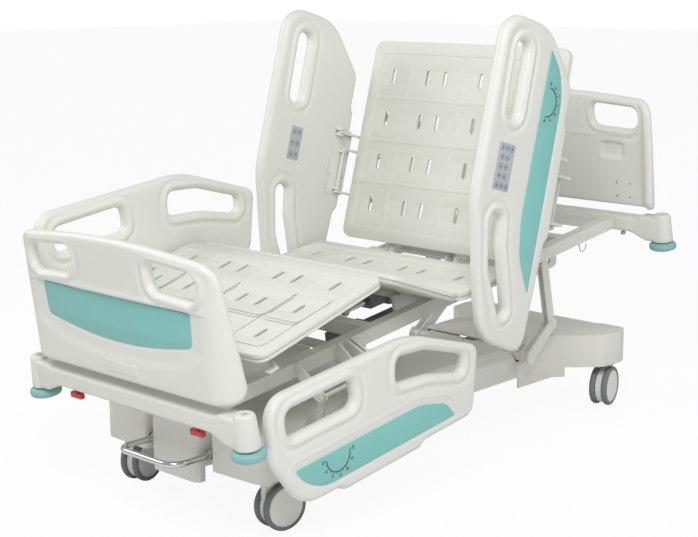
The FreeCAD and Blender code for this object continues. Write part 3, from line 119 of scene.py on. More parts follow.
def join(name, *pieces):
    """Join pieces into the first one."""
    only(pieces[0])
    for piece in pieces[1:]:
        piece.select_set(True)
    if len(pieces) > 1:
        bpy.ops.object.join()
    pieces[0].name = name
    return pieces[0]


def twin(obj, name, place=None):
    """A copy with a mesh of its own."""
    copy = obj.copy()
    copy.data = obj.data.copy()
    copy.name = name
    bpy.context.collection.objects.link(copy)
    if place is not None:
        settle(copy, place)
    return copy


def smooth(obj, angle=35):
    only(obj)
    bpy.ops.object.shade_smooth_by_angle(angle=math.radians(angle))
    return obj


def cad_copy(node, name):
    """A free copy of a CAD part's mesh with its loose triangles merged."""
    obj = bpy.data.objects.new(name, frame["nodes"][node].data.copy())
    bpy.context.collection.objects.link(obj)
    only(obj)
    bpy.ops.object.mode_set(mode="EDIT")
    bpy.ops.mesh.select_all(action="SELECT")
    bpy.ops.mesh.remove_doubles(threshold=MERGE)
    bpy.ops.mesh.tris_convert_to_quads(face_threshold=math.radians(1), shape_threshold=math.radians(180))
    bpy.ops.object.mode_set(mode="OBJECT")
    return obj


def rounded_copy(node, name, width, angle=50):
    """A copy of a CAD part with its sharp edges rolled over."""
    obj = cad_copy(node, name)
    modify(obj, "BEVEL", width=width, segments=3, limit_method="ANGLE", angle_limit=math.radians(angle))
    return smooth(obj, 40)


def cad_part(node, name, keep):
    """A copy of only those faces of a CAD part whose points all pass the test."""
    obj = cad_copy(node, name)
    kept = [v.index for v in obj.data.vertices if keep(v.co)]
    only(obj)
    bpy.ops.object.mode_set(mode="EDIT")
    bpy.ops.mesh.select_mode(type="VERT")
    bpy.ops.mesh.select_all(action="DESELECT")
    bpy.ops.object.mode_set(mode="OBJECT")
    flags = np.ones(len(obj.data.vertices), bool)
    flags[kept] = False
    obj.data.vertices.foreach_set("select", flags)
    bpy.ops.object.mode_set(mode="EDIT")
    bpy.ops.mesh.delete(type="VERT")
    bpy.ops.object.mode_set(mode="OBJECT")
    return smooth(obj, 40)


# %% [markdown]
# Most mouldings here are plates: an outline with rounded corners, cut through by handles or vent
# slots, with a soft edge all round. A filled two-dimensional curve does all of that at once, where
# a cube would need many cuts. Its corners are Bezier arcs, and its bevel rounds both rims.


# %% Helpers for outlines and plates
def corner_points(loop):
    """Bezier points that round each corner (x, y, radius) of a closed outline."""
    corners = []
    for i, (x, y, r) in enumerate(loop):
        back = Vector(loop[i - 1][:2]) - Vector((x, y))
        on = Vector(loop[(i + 1) % len(loop)][:2]) - Vector((x, y))
        back.normalize()
        on.normalize()
        turn = back.angle(on)
        reach = r / math.tan(turn / 2)
        pull = 4 / 3 * math.tan((math.pi - turn) / 4) * r
        corner = Vector((x, y))
        corners.append((corner + back * reach, corner + back * (reach - pull), corner + on * (reach - pull),
                        corner + on * reach))
    points = []
    for i, (start, into, out, end) in enumerate(corners):
        before, after = corners[i - 1][3], corners[(i + 1) % len(corners)][0]
        points.append((start, start.lerp(before, 1 / 3), into))
        points.append((end, out, end.lerp(after, 1 / 3)))
    return points


def rectangle(x0, y0, x1, y1, r):
    """A rectangle with rounded corners as an outline."""
    return [(x0, y0, r), (x1, y0, r), (x1, y1, r), (x0, y1, r)]


def oval(x, y, wide, tall):
    """A slot with round ends as an outline."""
    r = min(wide, tall) / 2 * 0.98
    return rectangle(x - wide / 2, y - tall / 2, x + wide / 2, y + tall / 2, r)


def add_spline(curve, path, closed):
    """Add (point, left handle, right handle) rows to a curve as one Bezier spline."""
    spline = curve.splines.new("BEZIER")
    spline.use_cyclic_u = closed
    spline.bezier_points.add(len(path) - 1)
    for point, row in zip(spline.bezier_points, path):
        point.handle_left_type = point.handle_right_type = "FREE"
        point.co, point.handle_left, point.handle_right = [p.to_3d() for p in row]


def plate(name, loops, low, high, soft, place, steps=5):
    """A plate between two heights of its own frame, with a rounded rim, as a mesh."""
    curve = bpy.data.curves.new(name, "CURVE")
    curve.dimensions = "2D"
    curve.fill_mode = "BOTH"
    curve.resolution_u = steps
    curve.extrude = (high - low) / 2 - soft
    curve.bevel_depth = soft
    curve.bevel_resolution = 3 if soft > 0.003 else 1
    curve.offset = -soft
    for loop in loops:
        add_spline(curve, corner_points(loop), True)
    obj = bpy.data.objects.new(name, curve)
    bpy.context.collection.objects.link(obj)
    only(obj)
    bpy.ops.object.convert(target="MESH")
    bpy.ops.object.mode_set(mode="EDIT")
    bpy.ops.mesh.select_all(action="SELECT")
    bpy.ops.mesh.remove_doubles(threshold=MERGE)
    bpy.ops.mesh.normals_make_consistent(inside=False)
    bpy.ops.object.mode_set(mode="OBJECT")
    obj.data.transform(Matrix.Translation((0, 0, (low + high) / 2)))
    settle(obj, place)
    return smooth(obj)


def tube(name, points, radius, place, rounding=0.0, steps=8):
    """A bent tube along points, its corners rounded, with closed ends."""
    curve = bpy.data.curves.new(name, "CURVE")
    curve.dimensions = "3D"
    curve.bevel_depth = radius
    curve.bevel_resolution = 4
    curve.resolution_u = steps
    curve.use_fill_caps = True
    path = []
    for i, point in enumerate(points):
        here = Vector(point)
        if 0 < i < len(points) - 1 and rounding > 0:
            back = (Vector(points[i - 1]) - here).normalized()
            on = (Vector(points[i + 1]) - here).normalized()
            turn = back.angle(on)
            reach = rounding / math.tan(turn / 2)
            pull = 4 / 3 * math.tan((math.pi - turn) / 4) * rounding
            path.append((here + back * reach, here + back * (reach + pull), here + back * (reach - pull)))
            path.append((here + on * reach, here + on * (reach - pull), here + on * (reach + pull)))
        else:
            path.append((here, here, here))
    add_spline(curve, path, False)
    obj = bpy.data.objects.new(name, curve)
    bpy.context.collection.objects.link(obj)
    only(obj)
    bpy.ops.object.convert(target="MESH")
    settle(obj, place)
    return smooth(obj, 40)


def turned(name, profile, place, around=40):
    """A shape spun round its own z axis from (radius, height) points."""
    mesh = bpy.data.meshes.new(name)
    mesh.from_pydata([(r, 0, h) for r, h in profile], [(i, i + 1) for i in range(len(profile) - 1)], [])
    obj = bpy.data.objects.new(name, mesh)
    bpy.context.collection.objects.link(obj)
    only(obj)
    bpy.ops.object.mode_set(mode="EDIT")
    bpy.ops.mesh.select_all(action="SELECT")
    bpy.ops.mesh.spin(steps=around, angle=math.tau, center=(0, 0, 0), axis=(0, 0, 1), use_auto_merge=True)
    bpy.ops.mesh.select_all(action="SELECT")
    bpy.ops.mesh.remove_doubles(threshold=MERGE / 2)
    bpy.ops.mesh.normals_make_consistent(inside=False)
    bpy.ops.object.mode_set(mode="OBJECT")
    settle(obj, place)
    return smooth(obj, 40)


# %% [markdown]
# Blow-moulded boards and rails have swages: ridges and shallow valleys that follow the handles.
# The plate is remeshed to even small faces, and its points are then pressed in or out by a depth
# that depends on the distance to a drawn line, as a mould would shape them.


# %% Helpers for moulded relief
def sample(loop, steps=6):
    """Points round an outline, for measuring distances to it."""
    found = corner_points(loop)
    points = []
    for i in range(0, len(found), 2):
        a, b = found[i], found[i + 1]
        for j in range(steps + 1):
            t = j / steps
            points.append(a[0] * (1 - t) ** 3 + a[2] * 3 * t * (1 - t) ** 2 + b[1] * 3 * t * t * (1 - t)
                          + b[0] * t ** 3)
    return np.array([tuple(p) for p in points])


def near(points, line, closed=True):
    """Distance of each point to a line of points."""
    best = np.full(len(points), 1e9)
    ends = np.roll(line, -1, axis=0) if closed else line[1:]
    for a, b in zip(line, ends):
        run = b - a
        t = np.clip(((points - a) @ run) / max(run @ run, 1e-12), 0, 1)
        best = np.minimum(best, np.linalg.norm(points - (a + t[:, None] * run), axis=1))
    return best


def inside(points, line):
    """Which points lie inside a closed line."""
    found = np.zeros(len(points), bool)
    for a, b in zip(line, np.roll(line, -1, axis=0)):
        if a[1] == b[1]:
            continue
        crosses = (a[1] > points[:, 1]) != (b[1] > points[:, 1])
        found ^= crosses & (points[:, 0] < (b[0] - a[0]) * (points[:, 1] - a[1]) / (b[1] - a[1]) + a[0])
    return found


def signed(points, line):
    """Distance of each point to a closed line, below zero inside it."""
    d = near(points, line)
    d[inside(points, line)] *= -1
    return d


def crest_at(d, centre, width):
    """A soft crest of height 1 where the distance is centre."""
    return np.exp(-((d - centre) / width) ** 2)


def shelf(d, edge, width):
    """1 below the edge and 0 beyond it, with a soft step between."""
    return 1 / (1 + np.exp(np.clip((d - edge) / width, -30, 30)))


def read_points(obj, what):
    """The places (co) or the normals of a mesh's points, one row each."""
    values = np.empty(len(obj.data.vertices) * 3)
    obj.data.vertices.foreach_get(what, values)
    return values.reshape(-1, 3)


def press(obj, place, depth, face=1):
    """Move the points of one face of a plate along its thickness by depth(points)."""
    obj.data.transform(place.inverted())
    at = read_points(obj, "co")
    weight = np.clip(read_points(obj, "normal")[:, 2] * face * 1.6 - 0.3, 0, 1)
    at[:, 2] += depth(at[:, :2]) * weight * face
    obj.data.vertices.foreach_set("co", at.ravel())
    obj.data.transform(place)
    obj.data.update()
    return obj


def remesh(obj, size):
    modify(obj, "REMESH", mode="VOXEL", voxel_size=size)
    modify(obj, "SMOOTH", factor=0.5, iterations=4)
    only(obj)
    bpy.ops.object.shade_smooth()
    return obj


# %% [markdown]
# The finishes. Nearly all of the bed is white moulded plastic or white painted steel, which differ
# in grain and gloss: plastic has a fine spark-eroded texture and faint mottling, paint has a soft
# orange peel. One node group makes the mottling and the height for all of them, with its own values
# in each material.


# %% The node group shared by the finishes
def new_group(name, inputs, outputs):
    group = bpy.data.node_groups.new(name, "ShaderNodeTree")
    for label, value in inputs:
        socket = group.interface.new_socket(label, in_out="INPUT", socket_type="NodeSocketFloat")
        socket.default_value = value
    for label in outputs:
        group.interface.new_socket(label, in_out="OUTPUT", socket_type="NodeSocketFloat")
    return group, group.nodes.new("NodeGroupInput"), group.nodes.new("NodeGroupOutput")


def make_moulded_surface():
    """Fine texture height and slow mottling, from object coordinates."""
    group, given, result = new_group("Moulded surface", [("Grain size", 900.0), ("Mottle size", 7.0)],
                                     ["Height", "Mottle"])
    nodes, links = group.nodes, group.links
    where = nodes.new("ShaderNodeTexCoord")
    grain = nodes.new("ShaderNodeTexNoise")
    grain.inputs["Detail"].default_value = 2.0
    mottle = nodes.new("ShaderNodeTexNoise")
    mottle.inputs["Detail"].default_value = 3.0
    links.new(where.outputs["Object"], grain.inputs["Vector"])
    links.new(where.outputs["Object"], mottle.inputs["Vector"])
    links.new(given.outputs["Grain size"], grain.inputs["Scale"])
    links.new(given.outputs["Mottle size"], mottle.inputs["Scale"])
    links.new(grain.outputs["Fac"], result.inputs["Height"])
    links.new(mottle.outputs["Fac"], result.inputs["Mottle"])
    return group


MOULDED = make_moulded_surface()
print("group:", MOULDED.name)

# %% [markdown]
# A finish is its colour, its roughness and how both vary. The mottling mixes a lighter and a darker
# tone of the colour and moves the roughness with it, and the grain bumps the surface.

# %% Materials
MIX_FACTOR, MIX_A, MIX_B, MIX_RESULT = 0, 6, 7, 2


def finish_of(name, colour, rough, grain=900.0, depth=0.0004, vary=0.04, metal=0.0, coat=0.0, mottle=7.0,
              rough_vary=0.08):
    """A plastic, paint, rubber or metal finish with its own grain and mottling."""
    material = bpy.data.materials.new(name)
    material.use_nodes = True
    nodes, links = material.node_tree.nodes, material.node_tree.links
    shader = nodes["Principled BSDF"]
    surface = nodes.new("ShaderNodeGroup")
    surface.node_tree = MOULDED
    surface.inputs["Grain size"].default_value = grain
    surface.inputs["Mottle size"].default_value = mottle
    tint = nodes.new("ShaderNodeMix")
    tint.data_type = "RGBA"
    tint.inputs[MIX_A].default_value = (*[c * (1 - vary) for c in colour], 1)
    tint.inputs[MIX_B].default_value = (*[min(c * (1 + vary), 1) for c in colour], 1)
    links.new(surface.outputs["Mottle"], tint.inputs[MIX_FACTOR])
    links.new(tint.outputs[MIX_RESULT], shader.inputs["Base Color"])
    dull = nodes.new("ShaderNodeMapRange")
    dull.inputs["To Min"].default_value = max(rough - rough_vary, 0.03)
    dull.inputs["To Max"].default_value = min(rough + rough_vary, 1)
    links.new(surface.outputs["Mottle"], dull.inputs["Value"])
    links.new(dull.outputs["Result"], shader.inputs["Roughness"])
    bump = nodes.new("ShaderNodeBump")
    bump.inputs["Strength"].default_value = 1.0
    bump.inputs["Distance"].default_value = depth
    links.new(surface.outputs["Height"], bump.inputs["Height"])
    links.new(bump.outputs["Normal"], shader.inputs["Normal"])
    shader.inputs["Metallic"].default_value = metal
    shader.inputs["Coat Weight"].default_value = coat
    return material


SHELL = finish_of("White shell", (0.79, 0.795, 0.745), 0.38, 700, 0.00025, 0.012, coat=0.05)
PANEL = finish_of("Panel plastic", (0.76, 0.775, 0.70), 0.48, 420, 0.0005, 0.015)
COVER = finish_of("Cover plastic", (0.77, 0.775, 0.72), 0.42, 700, 0.0003, 0.012)
PAINT = finish_of("White paint", (0.76, 0.765, 0.715), 0.33, 260, 0.0002, 0.012, coat=0.15)
TEAL = finish_of("Teal inlay", (0.235, 0.575, 0.545), 0.42, 900, 0.0002, 0.02)
BUMPER = finish_of("Teal bumper", (0.25, 0.50, 0.49), 0.5, 500, 0.0004, 0.03)
TYRE = finish_of("Grey tread", (0.20, 0.21, 0.22), 0.6, 600, 0.0005, 0.06)
HUB = finish_of("Hub plastic", (0.82, 0.82, 0.78), 0.4, 600, 0.0003, 0.02)
CHROME = finish_of("Chrome", (0.70, 0.71, 0.73), 0.14, 120, 0.00003, 0.02, metal=1.0, rough_vary=0.04)
STEEL = finish_of("Zinc steel", (0.55, 0.56, 0.57), 0.3, 300, 0.0001, 0.08, metal=1.0)
RED = finish_of("Red lever", (0.62, 0.04, 0.05), 0.35, 500, 0.0002, 0.04)
DARK = finish_of("Dark plastic", (0.05, 0.055, 0.06), 0.5, 500, 0.0003, 0.08)
KEYPAD = finish_of("Keypad film", (0.47, 0.51, 0.56), 0.4, 900, 0.0001, 0.03)
INK = finish_of("Printed marks", (0.03, 0.05, 0.06), 0.5, 900, 0.00005, 0.02)
DRIVE = finish_of("Drive housing", (0.16, 0.17, 0.18), 0.5, 500, 0.0004, 0.05)
print("finishes:", len(bpy.data.materials))


def dress(obj, material, body=None, replaces=()):
    """Give a piece its finish and tie it to its CAD body."""
    obj.data.materials.clear()
    obj.data.materials.append(material)
    if body:
        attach(obj, body)
    if replaces:
        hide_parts(*replaces)
    return obj


# %% [markdown]
# The CAD parts that stay in view keep their shape and get a finish each. They are tubes, levers,
# arms, pins and drives, so paint, chrome and dark housings cover them.

# %% Finishes of the CAD parts
CAD_FINISH = {
    "frame_grey": PAINT, "panel_white": PANEL, "shell_ivory": SHELL, "cover_grey": COVER,
    "motor_grey": DRIVE, "rod_chrome": CHROME, "bush_plastic": DARK, "bumper_grey": BUMPER,
    "red_plastic": RED, "arm_grey": PAINT, "caster_grey": HUB, "wheel_rubber": TYRE,
}
slot_of = {entry["node"]: entry["material_slot"] for entry in frame["record"]["subparts"]}
for node, obj in frame["nodes"].items():
    for i in range(len(obj.material_slots)):
        obj.material_slots[i].material = CAD_FINISH[slot_of[node]]
print("CAD parts dressed:", len(slot_of))

# %% [markdown]
# The four side rails are blow-moulded: one thick skin with soft edges, two long grips cut through
# it, a valley round each grip, and a teal inlay on the outer face. The outline is drawn once for
# each kind, in the frame of the section that carries it, and mirrored for the far side.

# %% Outlines of the side rails
RAIL_INNER = 0.452
RAIL_OUTER = 0.494
SKIN_SOFT = 0.0165
SKIN_CELL = 0.0038
HEAD_RAIL = [(-0.275, 0.103, 0.055), (0.090, 0.088, 0.02), (0.118, 0.070, 0.015), (0.462, 0.078, 0.015),
             (0.490, 0.092, 0.02), (0.606, 0.092, 0.06), (0.768, 0.262, 0.17), (0.764, 0.496, 0.085),
             (0.180, 0.492, 0.26), (-0.245, 0.338, 0.13)]
HEAD_GRIPS = [
    [(0.692, 0.421, 0.0285), (0.692, 0.355, 0.0285), (0.444, 0.348, 0.0285), (0.446, 0.413, 0.0285)],
    [(0.150, 0.403, 0.025), (0.152, 0.338, 0.025), (0.050, 0.318, 0.08), (-0.148, 0.226, 0.016),
     (-0.166, 0.262, 0.016), (-0.024, 0.357, 0.08)],
]
HEAD_INLAY = [(0.700, 0.2450, 0.004), (0.655, 0.190, 0.10), (0.580, 0.1430, 0.22), (-0.076, 0.1370, 0.003),
              (0.028, 0.2140, 0.20), (0.150, 0.2420, 0.28)]
FOOT_RAIL = [(-0.994, 0.541, 0.075), (-0.400, 0.537, 0.35), (-0.088, 0.402, 0.035), (-0.138, 0.187, 0.045),
             (-0.374, 0.187, 0.02), (-0.400, 0.171, 0.02), (-0.728, 0.171, 0.02), (-0.756, 0.186, 0.02),
             (-0.905, 0.190, 0.11), (-0.995, 0.350, 0.12)]
FOOT_GRIPS = [
    [(-0.930, 0.488, 0.028), (-0.660, 0.490, 0.028), (-0.655, 0.406, 0.028), (-0.932, 0.406, 0.028)],
    [(-0.468, 0.487, 0.024), (-0.340, 0.468, 0.12), (-0.166, 0.396, 0.024), (-0.175, 0.338, 0.024),
     (-0.330, 0.386, 0.12), (-0.480, 0.407, 0.024)],
]
FOOT_INLAY = [(-0.921, 0.3086, 0.005), (-0.385, 0.3085, 0.25), (-0.268, 0.272, 0.07), (-0.230, 0.2195, 0.004),
              (-0.815, 0.218, 0.16), (-0.895, 0.262, 0.15)]
print("head rail", len(HEAD_RAIL), "corners, foot rail", len(FOOT_RAIL), "corners")

# %% [markdown]
# Both faces of a rail are pressed. The outer one has a lip round each grip and a shallow bed for
# the inlay, and on the foot rail a swage follows the bed's upper edge. The foot rail is modelled
# raised: a twin of it is lowered for the near side, and it is then mirrored to the far one.


# %% Model a rail with its swages
def grip_relief(grips, inlay=None, swage=0.0):
    """Depth of a face: a lip round each grip, a shallow bed for the inlay and a swage above it."""
    lines = [sample(g) for g in grips]
    bed = sample(inlay) if inlay else None

    def depth(points):
        out = np.zeros(len(points))
        for line in lines:
            d = near(points, line)
            out += 0.0022 * crest_at(d, 0.020, 0.007)
            out -= 0.0030 * crest_at(d, 0.036, 0.009)
        if bed is None:
            return out
        d = signed(points, bed)
        out -= 0.0025 * shelf(d, 0.004, 0.0018)
        if swage:
            above = points[:, 1] > bed[:, 1].mean()
            out += 0.0022 * above * crest_at(d, swage, 0.005)
        return out
    return depth


def model_rail(name, outline, grips, inlay, place, swage=0.0):
    rail = plate(name, [outline] + grips, RAIL_INNER, RAIL_OUTER, SKIN_SOFT, place @ ALONG)
    remesh(rail, SKIN_CELL)
    press(rail, place @ ALONG, grip_relief(grips, inlay, swage), 1)
    press(rail, place @ ALONG, grip_relief(grips), -1)
    return rail


RAIL_DROP = 0.405
FOOT_SWAGE = 0.026
foot_lowered = DECK @ Matrix.Translation((0, 0, -RAIL_DROP))
head_rail = model_rail("head_rail_shell_left", HEAD_RAIL, HEAD_GRIPS, HEAD_INLAY, BACK)
foot_rail = model_rail("foot_rail_shell_right", FOOT_RAIL, FOOT_GRIPS, FOOT_INLAY, DECK, FOOT_SWAGE)
lowering = Matrix.Translation(DECK.to_3x3() @ Vector((0, 0, -RAIL_DROP)))
foot_rail_near = twin(foot_rail, "foot_rail_shell_left", lowering)
head_rail_far = twin(head_rail, "head_rail_shell_right", MIRROR)
settle(foot_rail, MIRROR)
for shell, node in ((head_rail, "head_rail_left"), (head_rail_far, "head_rail_right"),
                    (foot_rail_near, "foot_rail_left"), (foot_rail, "foot_rail_right")):
    dress(shell, SHELL, node, [node])
print("rail faces:", len(head_rail.data.polygons), len(foot_rail.data.polygons))

# %% [markdown]
# The teal inlays are thin sheets that lie in the beds pressed for them, a little below the face.


# %% Inlays of the rails
def rail_inlay(name, outline, place, side, body):
    sheet = plate(name, [outline], RAIL_OUTER - 0.0035, RAIL_OUTER - 0.0006, 0.0008, place @ ALONG, 8)
    if side < 0:
        settle(sheet, MIRROR)
    return dress(sheet, TEAL, body)


rail_inlay("head_inlay_left", HEAD_INLAY, BACK, 1, "head_rail_left")
rail_inlay("head_inlay_right", HEAD_INLAY, BACK, -1, "head_rail_right")
rail_inlay("foot_inlay_left", FOOT_INLAY, foot_lowered, 1, "foot_rail_left")
rail_inlay("foot_inlay_right", FOOT_INLAY, DECK, -1, "foot_rail_right")
print("inlays: 4")

# %% [markdown]
# Each end board is a moulded plate that wraps round the mattress at both sides. It is drawn flat,
# with its two handles, pressed with its swages, and then rolled round the corners: a point past the
# bend line keeps its distance along the plate but turns about an upright axis.

# %% Outline of the end boards
BOARD_LOW = 0.131
BOARD_TOP = 0.561
BOARD_THICK = 0.034
FOOT_BOARD_FACE = -1.090
HEAD_BOARD_FACE = 1.086
BEND_START = 0.362
BEND_RADIUS = 0.082
BOARD_OUTLINE = [(-0.474, BOARD_LOW, 0.045), (0.474, BOARD_LOW, 0.045), (0.424, BOARD_TOP - 0.030, 0.075),
                 (0.0, BOARD_TOP + 0.004, 3.0), (-0.424, BOARD_TOP - 0.030, 0.075)]
BOARD_GRIPS = [[(s * 0.366, 0.500, 0.032), (s * 0.168, 0.512, 0.024), (s * 0.176, 0.428, 0.030),
                (s * 0.362, 0.420, 0.036)] for s in (-1, 1)]
BOARD_BAND = [(-0.325, 0.386, 0.012), (0.325, 0.386, 0.012), (0.318, 0.286, 0.022), (0.0, 0.232, 1.3),
              (-0.318, 0.286, 0.022)]
BARE_PLATE = [(-0.076, 0.192, 0.012), (0.076, 0.192, 0.012), (0.076, 0.155, 0.012), (-0.076, 0.155, 0.012)]
CUP = rectangle(0.200, 0.308, 0.306, 0.374, 0.020)
print("end boards:", len(BOARD_OUTLINE), "corners,", len(BOARD_GRIPS), "grips")

# %% [markdown]
# Both boards share their outline. The footboard's outer face is pressed with a crest, a swept step
# and a bed for its teal band, and the headboard's inner face with a crest and two cups.


# %% Roll and relief of the end boards
def end_place(face, sign):
    """The place of a board or beam whose outer face lies at face and looks away from the mattress."""
    turn = Matrix() if sign < 0 else Matrix.Rotation(math.pi, 4, "Z")
    return DECK @ Matrix.Translation((0, face, 0)) @ turn @ ACROSS


def roll(obj, place):
    """Roll the ends of a flat board round its corners. Its outer face lies at height 0."""
    obj.data.transform(place.inverted())
    at = read_points(obj, "co")
    side = np.sign(at[:, 0])
    past = np.clip(np.abs(at[:, 0]) - BEND_START, 0, None)
    mid = BEND_RADIUS - BOARD_THICK / 2
    turn = np.minimum(past / mid, math.pi / 2)
    straight = past - turn * mid
    radius = BEND_RADIUS + at[:, 2]
    bent = past > 0
    x = BEND_START + radius * np.sin(turn)
    z = radius * np.cos(turn) - BEND_RADIUS - straight
    at[bent, 0] = (side * x)[bent]
    at[bent, 2] = z[bent]
    obj.data.vertices.foreach_set("co", at.ravel())
    obj.data.transform(place)
    obj.data.update()
    return obj


def board_relief(outer, cups=False):
    grips = [sample(g) for g in BOARD_GRIPS]
    band = sample(BOARD_BAND)
    cup = sample(CUP)
    crest = np.array([(-0.340, 0.397), (0.340, 0.397)])
    sweep = np.array([(-0.345, 0.262), (-0.25, 0.222), (-0.12, 0.205), (0.12, 0.205), (0.25, 0.222),
                      (0.345, 0.262)])

    def depth(points):
        out = np.zeros(len(points))
        for line in grips:
            d = near(points, line)
            out += 0.0025 * crest_at(d, 0.014, 0.007)
            below_bar = shelf(points[:, 1], 0.505, 0.006)
            out -= 0.0035 * below_bar * crest_at(d, 0.030, 0.009)
        if outer:
            out += 0.004 * crest_at(near(points, crest, False), 0, 0.009)
            out -= 0.003 * shelf(signed(points, band), 0.004, 0.0018)
            below = points[:, 1] - np.interp(points[:, 0], sweep[:, 0], sweep[:, 1])
            fade = np.clip((0.40 - np.abs(points[:, 0])) / 0.06, 0, 1)
            out -= 0.006 * fade * shelf(-below, 0, 0.006) * (points[:, 1] < 0.39)
        if cups:
            folded = np.column_stack([np.abs(points[:, 0]), points[:, 1]])
            out -= 0.013 * shelf(signed(folded, cup), -0.006, 0.0032)
            out += 0.003 * crest_at(near(points, crest, False), 0, 0.008)
        return out
    return depth


def model_board(name, face, sign):
    place = end_place(face, sign)
    board = plate(name, [BOARD_OUTLINE] + BOARD_GRIPS, -BOARD_THICK, 0, SKIN_SOFT, place)
    remesh(board, SKIN_CELL)
    press(board, place, board_relief(sign < 0), 1)
    press(board, place, board_relief(False, sign > 0), -1)
    return roll(board, place), place


# %% [markdown]
# The footboard carries a teal band and a raised bare plate on its outer face. The headboard has two
# screwed cover plates on its inner face.

# %% The end boards and what is fixed to them
COVER_FACE = -0.0353
COVER_SCREW = [(0.0, 0.0005), (0.0012, 0.0005), (0.0016, 0.0014), (0.0034, 0.0012), (0.0042, 0.0002),
               (0.0042, -0.0006)]
footboard, foot_board_place = model_board("footboard_shell", FOOT_BOARD_FACE, -1)
headboard, head_board_place = model_board("headboard_shell", HEAD_BOARD_FACE, 1)
dress(footboard, SHELL, "footboard", ["footboard"])
dress(headboard, SHELL, "headboard", ["headboard"])
band = plate("footboard_band", [BOARD_BAND], -0.0095, -0.0066, 0.0008, foot_board_place, 10)
dress(band, TEAL, "footboard")
bare_plate = plate("footboard_plate", [BARE_PLATE], -0.004, 0.0012, 0.0008, foot_board_place)
dress(bare_plate, SHELL, "footboard")
for side, sign in (("left", -1), ("right", 1)):
    x = sign * 0.299
    cover = rectangle(x - 0.041, 0.152, x + 0.041, 0.235, 0.003)
    sheet = plate("headboard_cover_" + side, [cover], COVER_FACE, -0.0330, 0.0007, head_board_place)
    dress(sheet, SHELL, "headboard")
    screws = []
    for dx in (-0.028, 0.028):
        for h in (0.168, 0.219):
            spot = head_board_place @ Matrix.Translation((x + dx, h, COVER_FACE))
            screws.append(turned("cover_screw", COVER_SCREW, spot @ Matrix.Rotation(math.pi, 4, "X"), 16))
    dress(join("headboard_screws_" + side, *screws), STEEL, "headboard")
print("board faces:", len(footboard.data.polygons))

# %% [markdown]
# The four mattress panels are ribbed plastic trays with rows of vent slots. Each is a stack: a
# flange, a step and a skin with the slots, under a raised lattice whose windows are the sunk cells.

# %% Mattress panels
PANEL_HALF = 0.428
SLOT_PITCH = 0.157
CELL_RIM = 0.007
CELL_BORDER = 0.040
SLOT_COLUMNS = (-0.318, -0.160, -0.080, 0.080, 0.160, 0.318)


def tray(name, low_y, high_y, top, rows, place, splits, ridges=0):
    """A panel with slots in rows, a stepped edge and a raised lattice round its sunk cells."""
    def outline(inset, r):
        h = PANEL_HALF - inset
        return rectangle(-h, low_y + inset, h, high_y - inset, r)

    def slots(wide, tall):
        return [oval(x, y, wide, tall) for y in rows for x in SLOT_COLUMNS]

    skin = [outline(0.004, 0.032)] + slots(0.015, 0.055)
    step = [outline(0.004, 0.033)] + slots(0.040, 0.080)
    flange = [outline(0.001, 0.035)] + slots(0.042, 0.082)
    layers = [
        plate(name + "_skin", skin, top - 0.0065, top, 0.002, place, 4),
        plate(name + "_step", step, top - 0.018, top - 0.0055, 0.0015, place, 4),
        plate(name + "_flange", flange, top - 0.025, top - 0.016, 0.0025, place, 4),
    ]
    lattice = [outline(0, 0.035)]
    across = [-PANEL_HALF + CELL_BORDER, -0.243, 0.0, 0.243, PANEL_HALF - CELL_BORDER]
    along = [low_y + CELL_BORDER, *splits, high_y - CELL_BORDER]
    for x0, x1 in zip(across, across[1:]):
        for y0, y1 in zip(along, along[1:]):
            lattice.append(rectangle(x0 + CELL_RIM, y0 + CELL_RIM, x1 - CELL_RIM, y1 - CELL_RIM, 0.018))
    layers.append(plate(name + "_lattice", lattice, top - 0.012, top + 0.0022, 0.0030, place, 4))
    for wide, slot in zip(slots(0.021, 0.061), slots(0.015, 0.055)):
        layers.append(plate(name + "_lip", [wide, slot], top - 0.002, top + 0.0012, 0.0011, place, 2))
    for i in range(ridges):
        low = top - 0.0095 - 0.0048 * i
        rim = [outline(-0.0016, 0.036), outline(0.006, 0.030)]
        layers.append(plate(name + "_ridge", rim, low - 0.0024, low, 0.0010, place, 3))
    return join(name, *layers)


back_rows = [0.383 + (i - 1.5) * SLOT_PITCH for i in range(4)]
back_tray = tray("back_tray", 0.018, 0.748, 0.050, back_rows, BACK, (0.2305, 0.383, 0.5395))
dress(back_tray, PANEL, "back", ["back_panel"])
seat_tray = tray("seat_tray", -0.082, 0.172, 0.150, [0.045], DECK, ())
dress(seat_tray, PANEL, "deck", ["seat_panel"])
calf_rows = [-0.110 - i * SLOT_PITCH for i in range(3)]
calf_tray = tray("calf_tray", -0.535, -0.012, 0.032, calf_rows, CALF, (-0.1885, -0.3455))
thigh_tray = tray("thigh_tray", -0.341, -0.009, 0.032, [-0.25], THIGH, (-0.17,), 3)
print("tray faces:", len(back_tray.data.polygons))

# %% [markdown]
# The CAD thigh and calf are each a panel on a welded steel frame. The tray stands in for the panel,
# so only the steel is copied: what lies below the panel's underside, seen in the section's own frame.


# %% Thigh and calf on their steel
def steel_below(node, name, place, underside=0.0065):
    flat = place.inverted()
    return cad_part(node, name, lambda co: (flat @ co).z < underside)


thigh_steel = steel_below("thigh_panel", "thigh_steel", THIGH)
calf_steel = steel_below("calf_panel", "calf_steel", CALF)
dress(thigh_tray, PANEL, "thigh", ["thigh_panel"])
dress(calf_tray, PANEL, "calf", ["calf_panel"])
dress(thigh_steel, PAINT, "thigh")
dress(calf_steel, PAINT, "calf")
print("steel faces:", len(thigh_steel.data.polygons), len(calf_steel.data.polygons))

# %% [markdown]
# The beams under the boards are mouldings with a cone at each end. A cone carries a pole socket in
# its top and a roller bumper below. The bumpers are spun like a potter's dish.


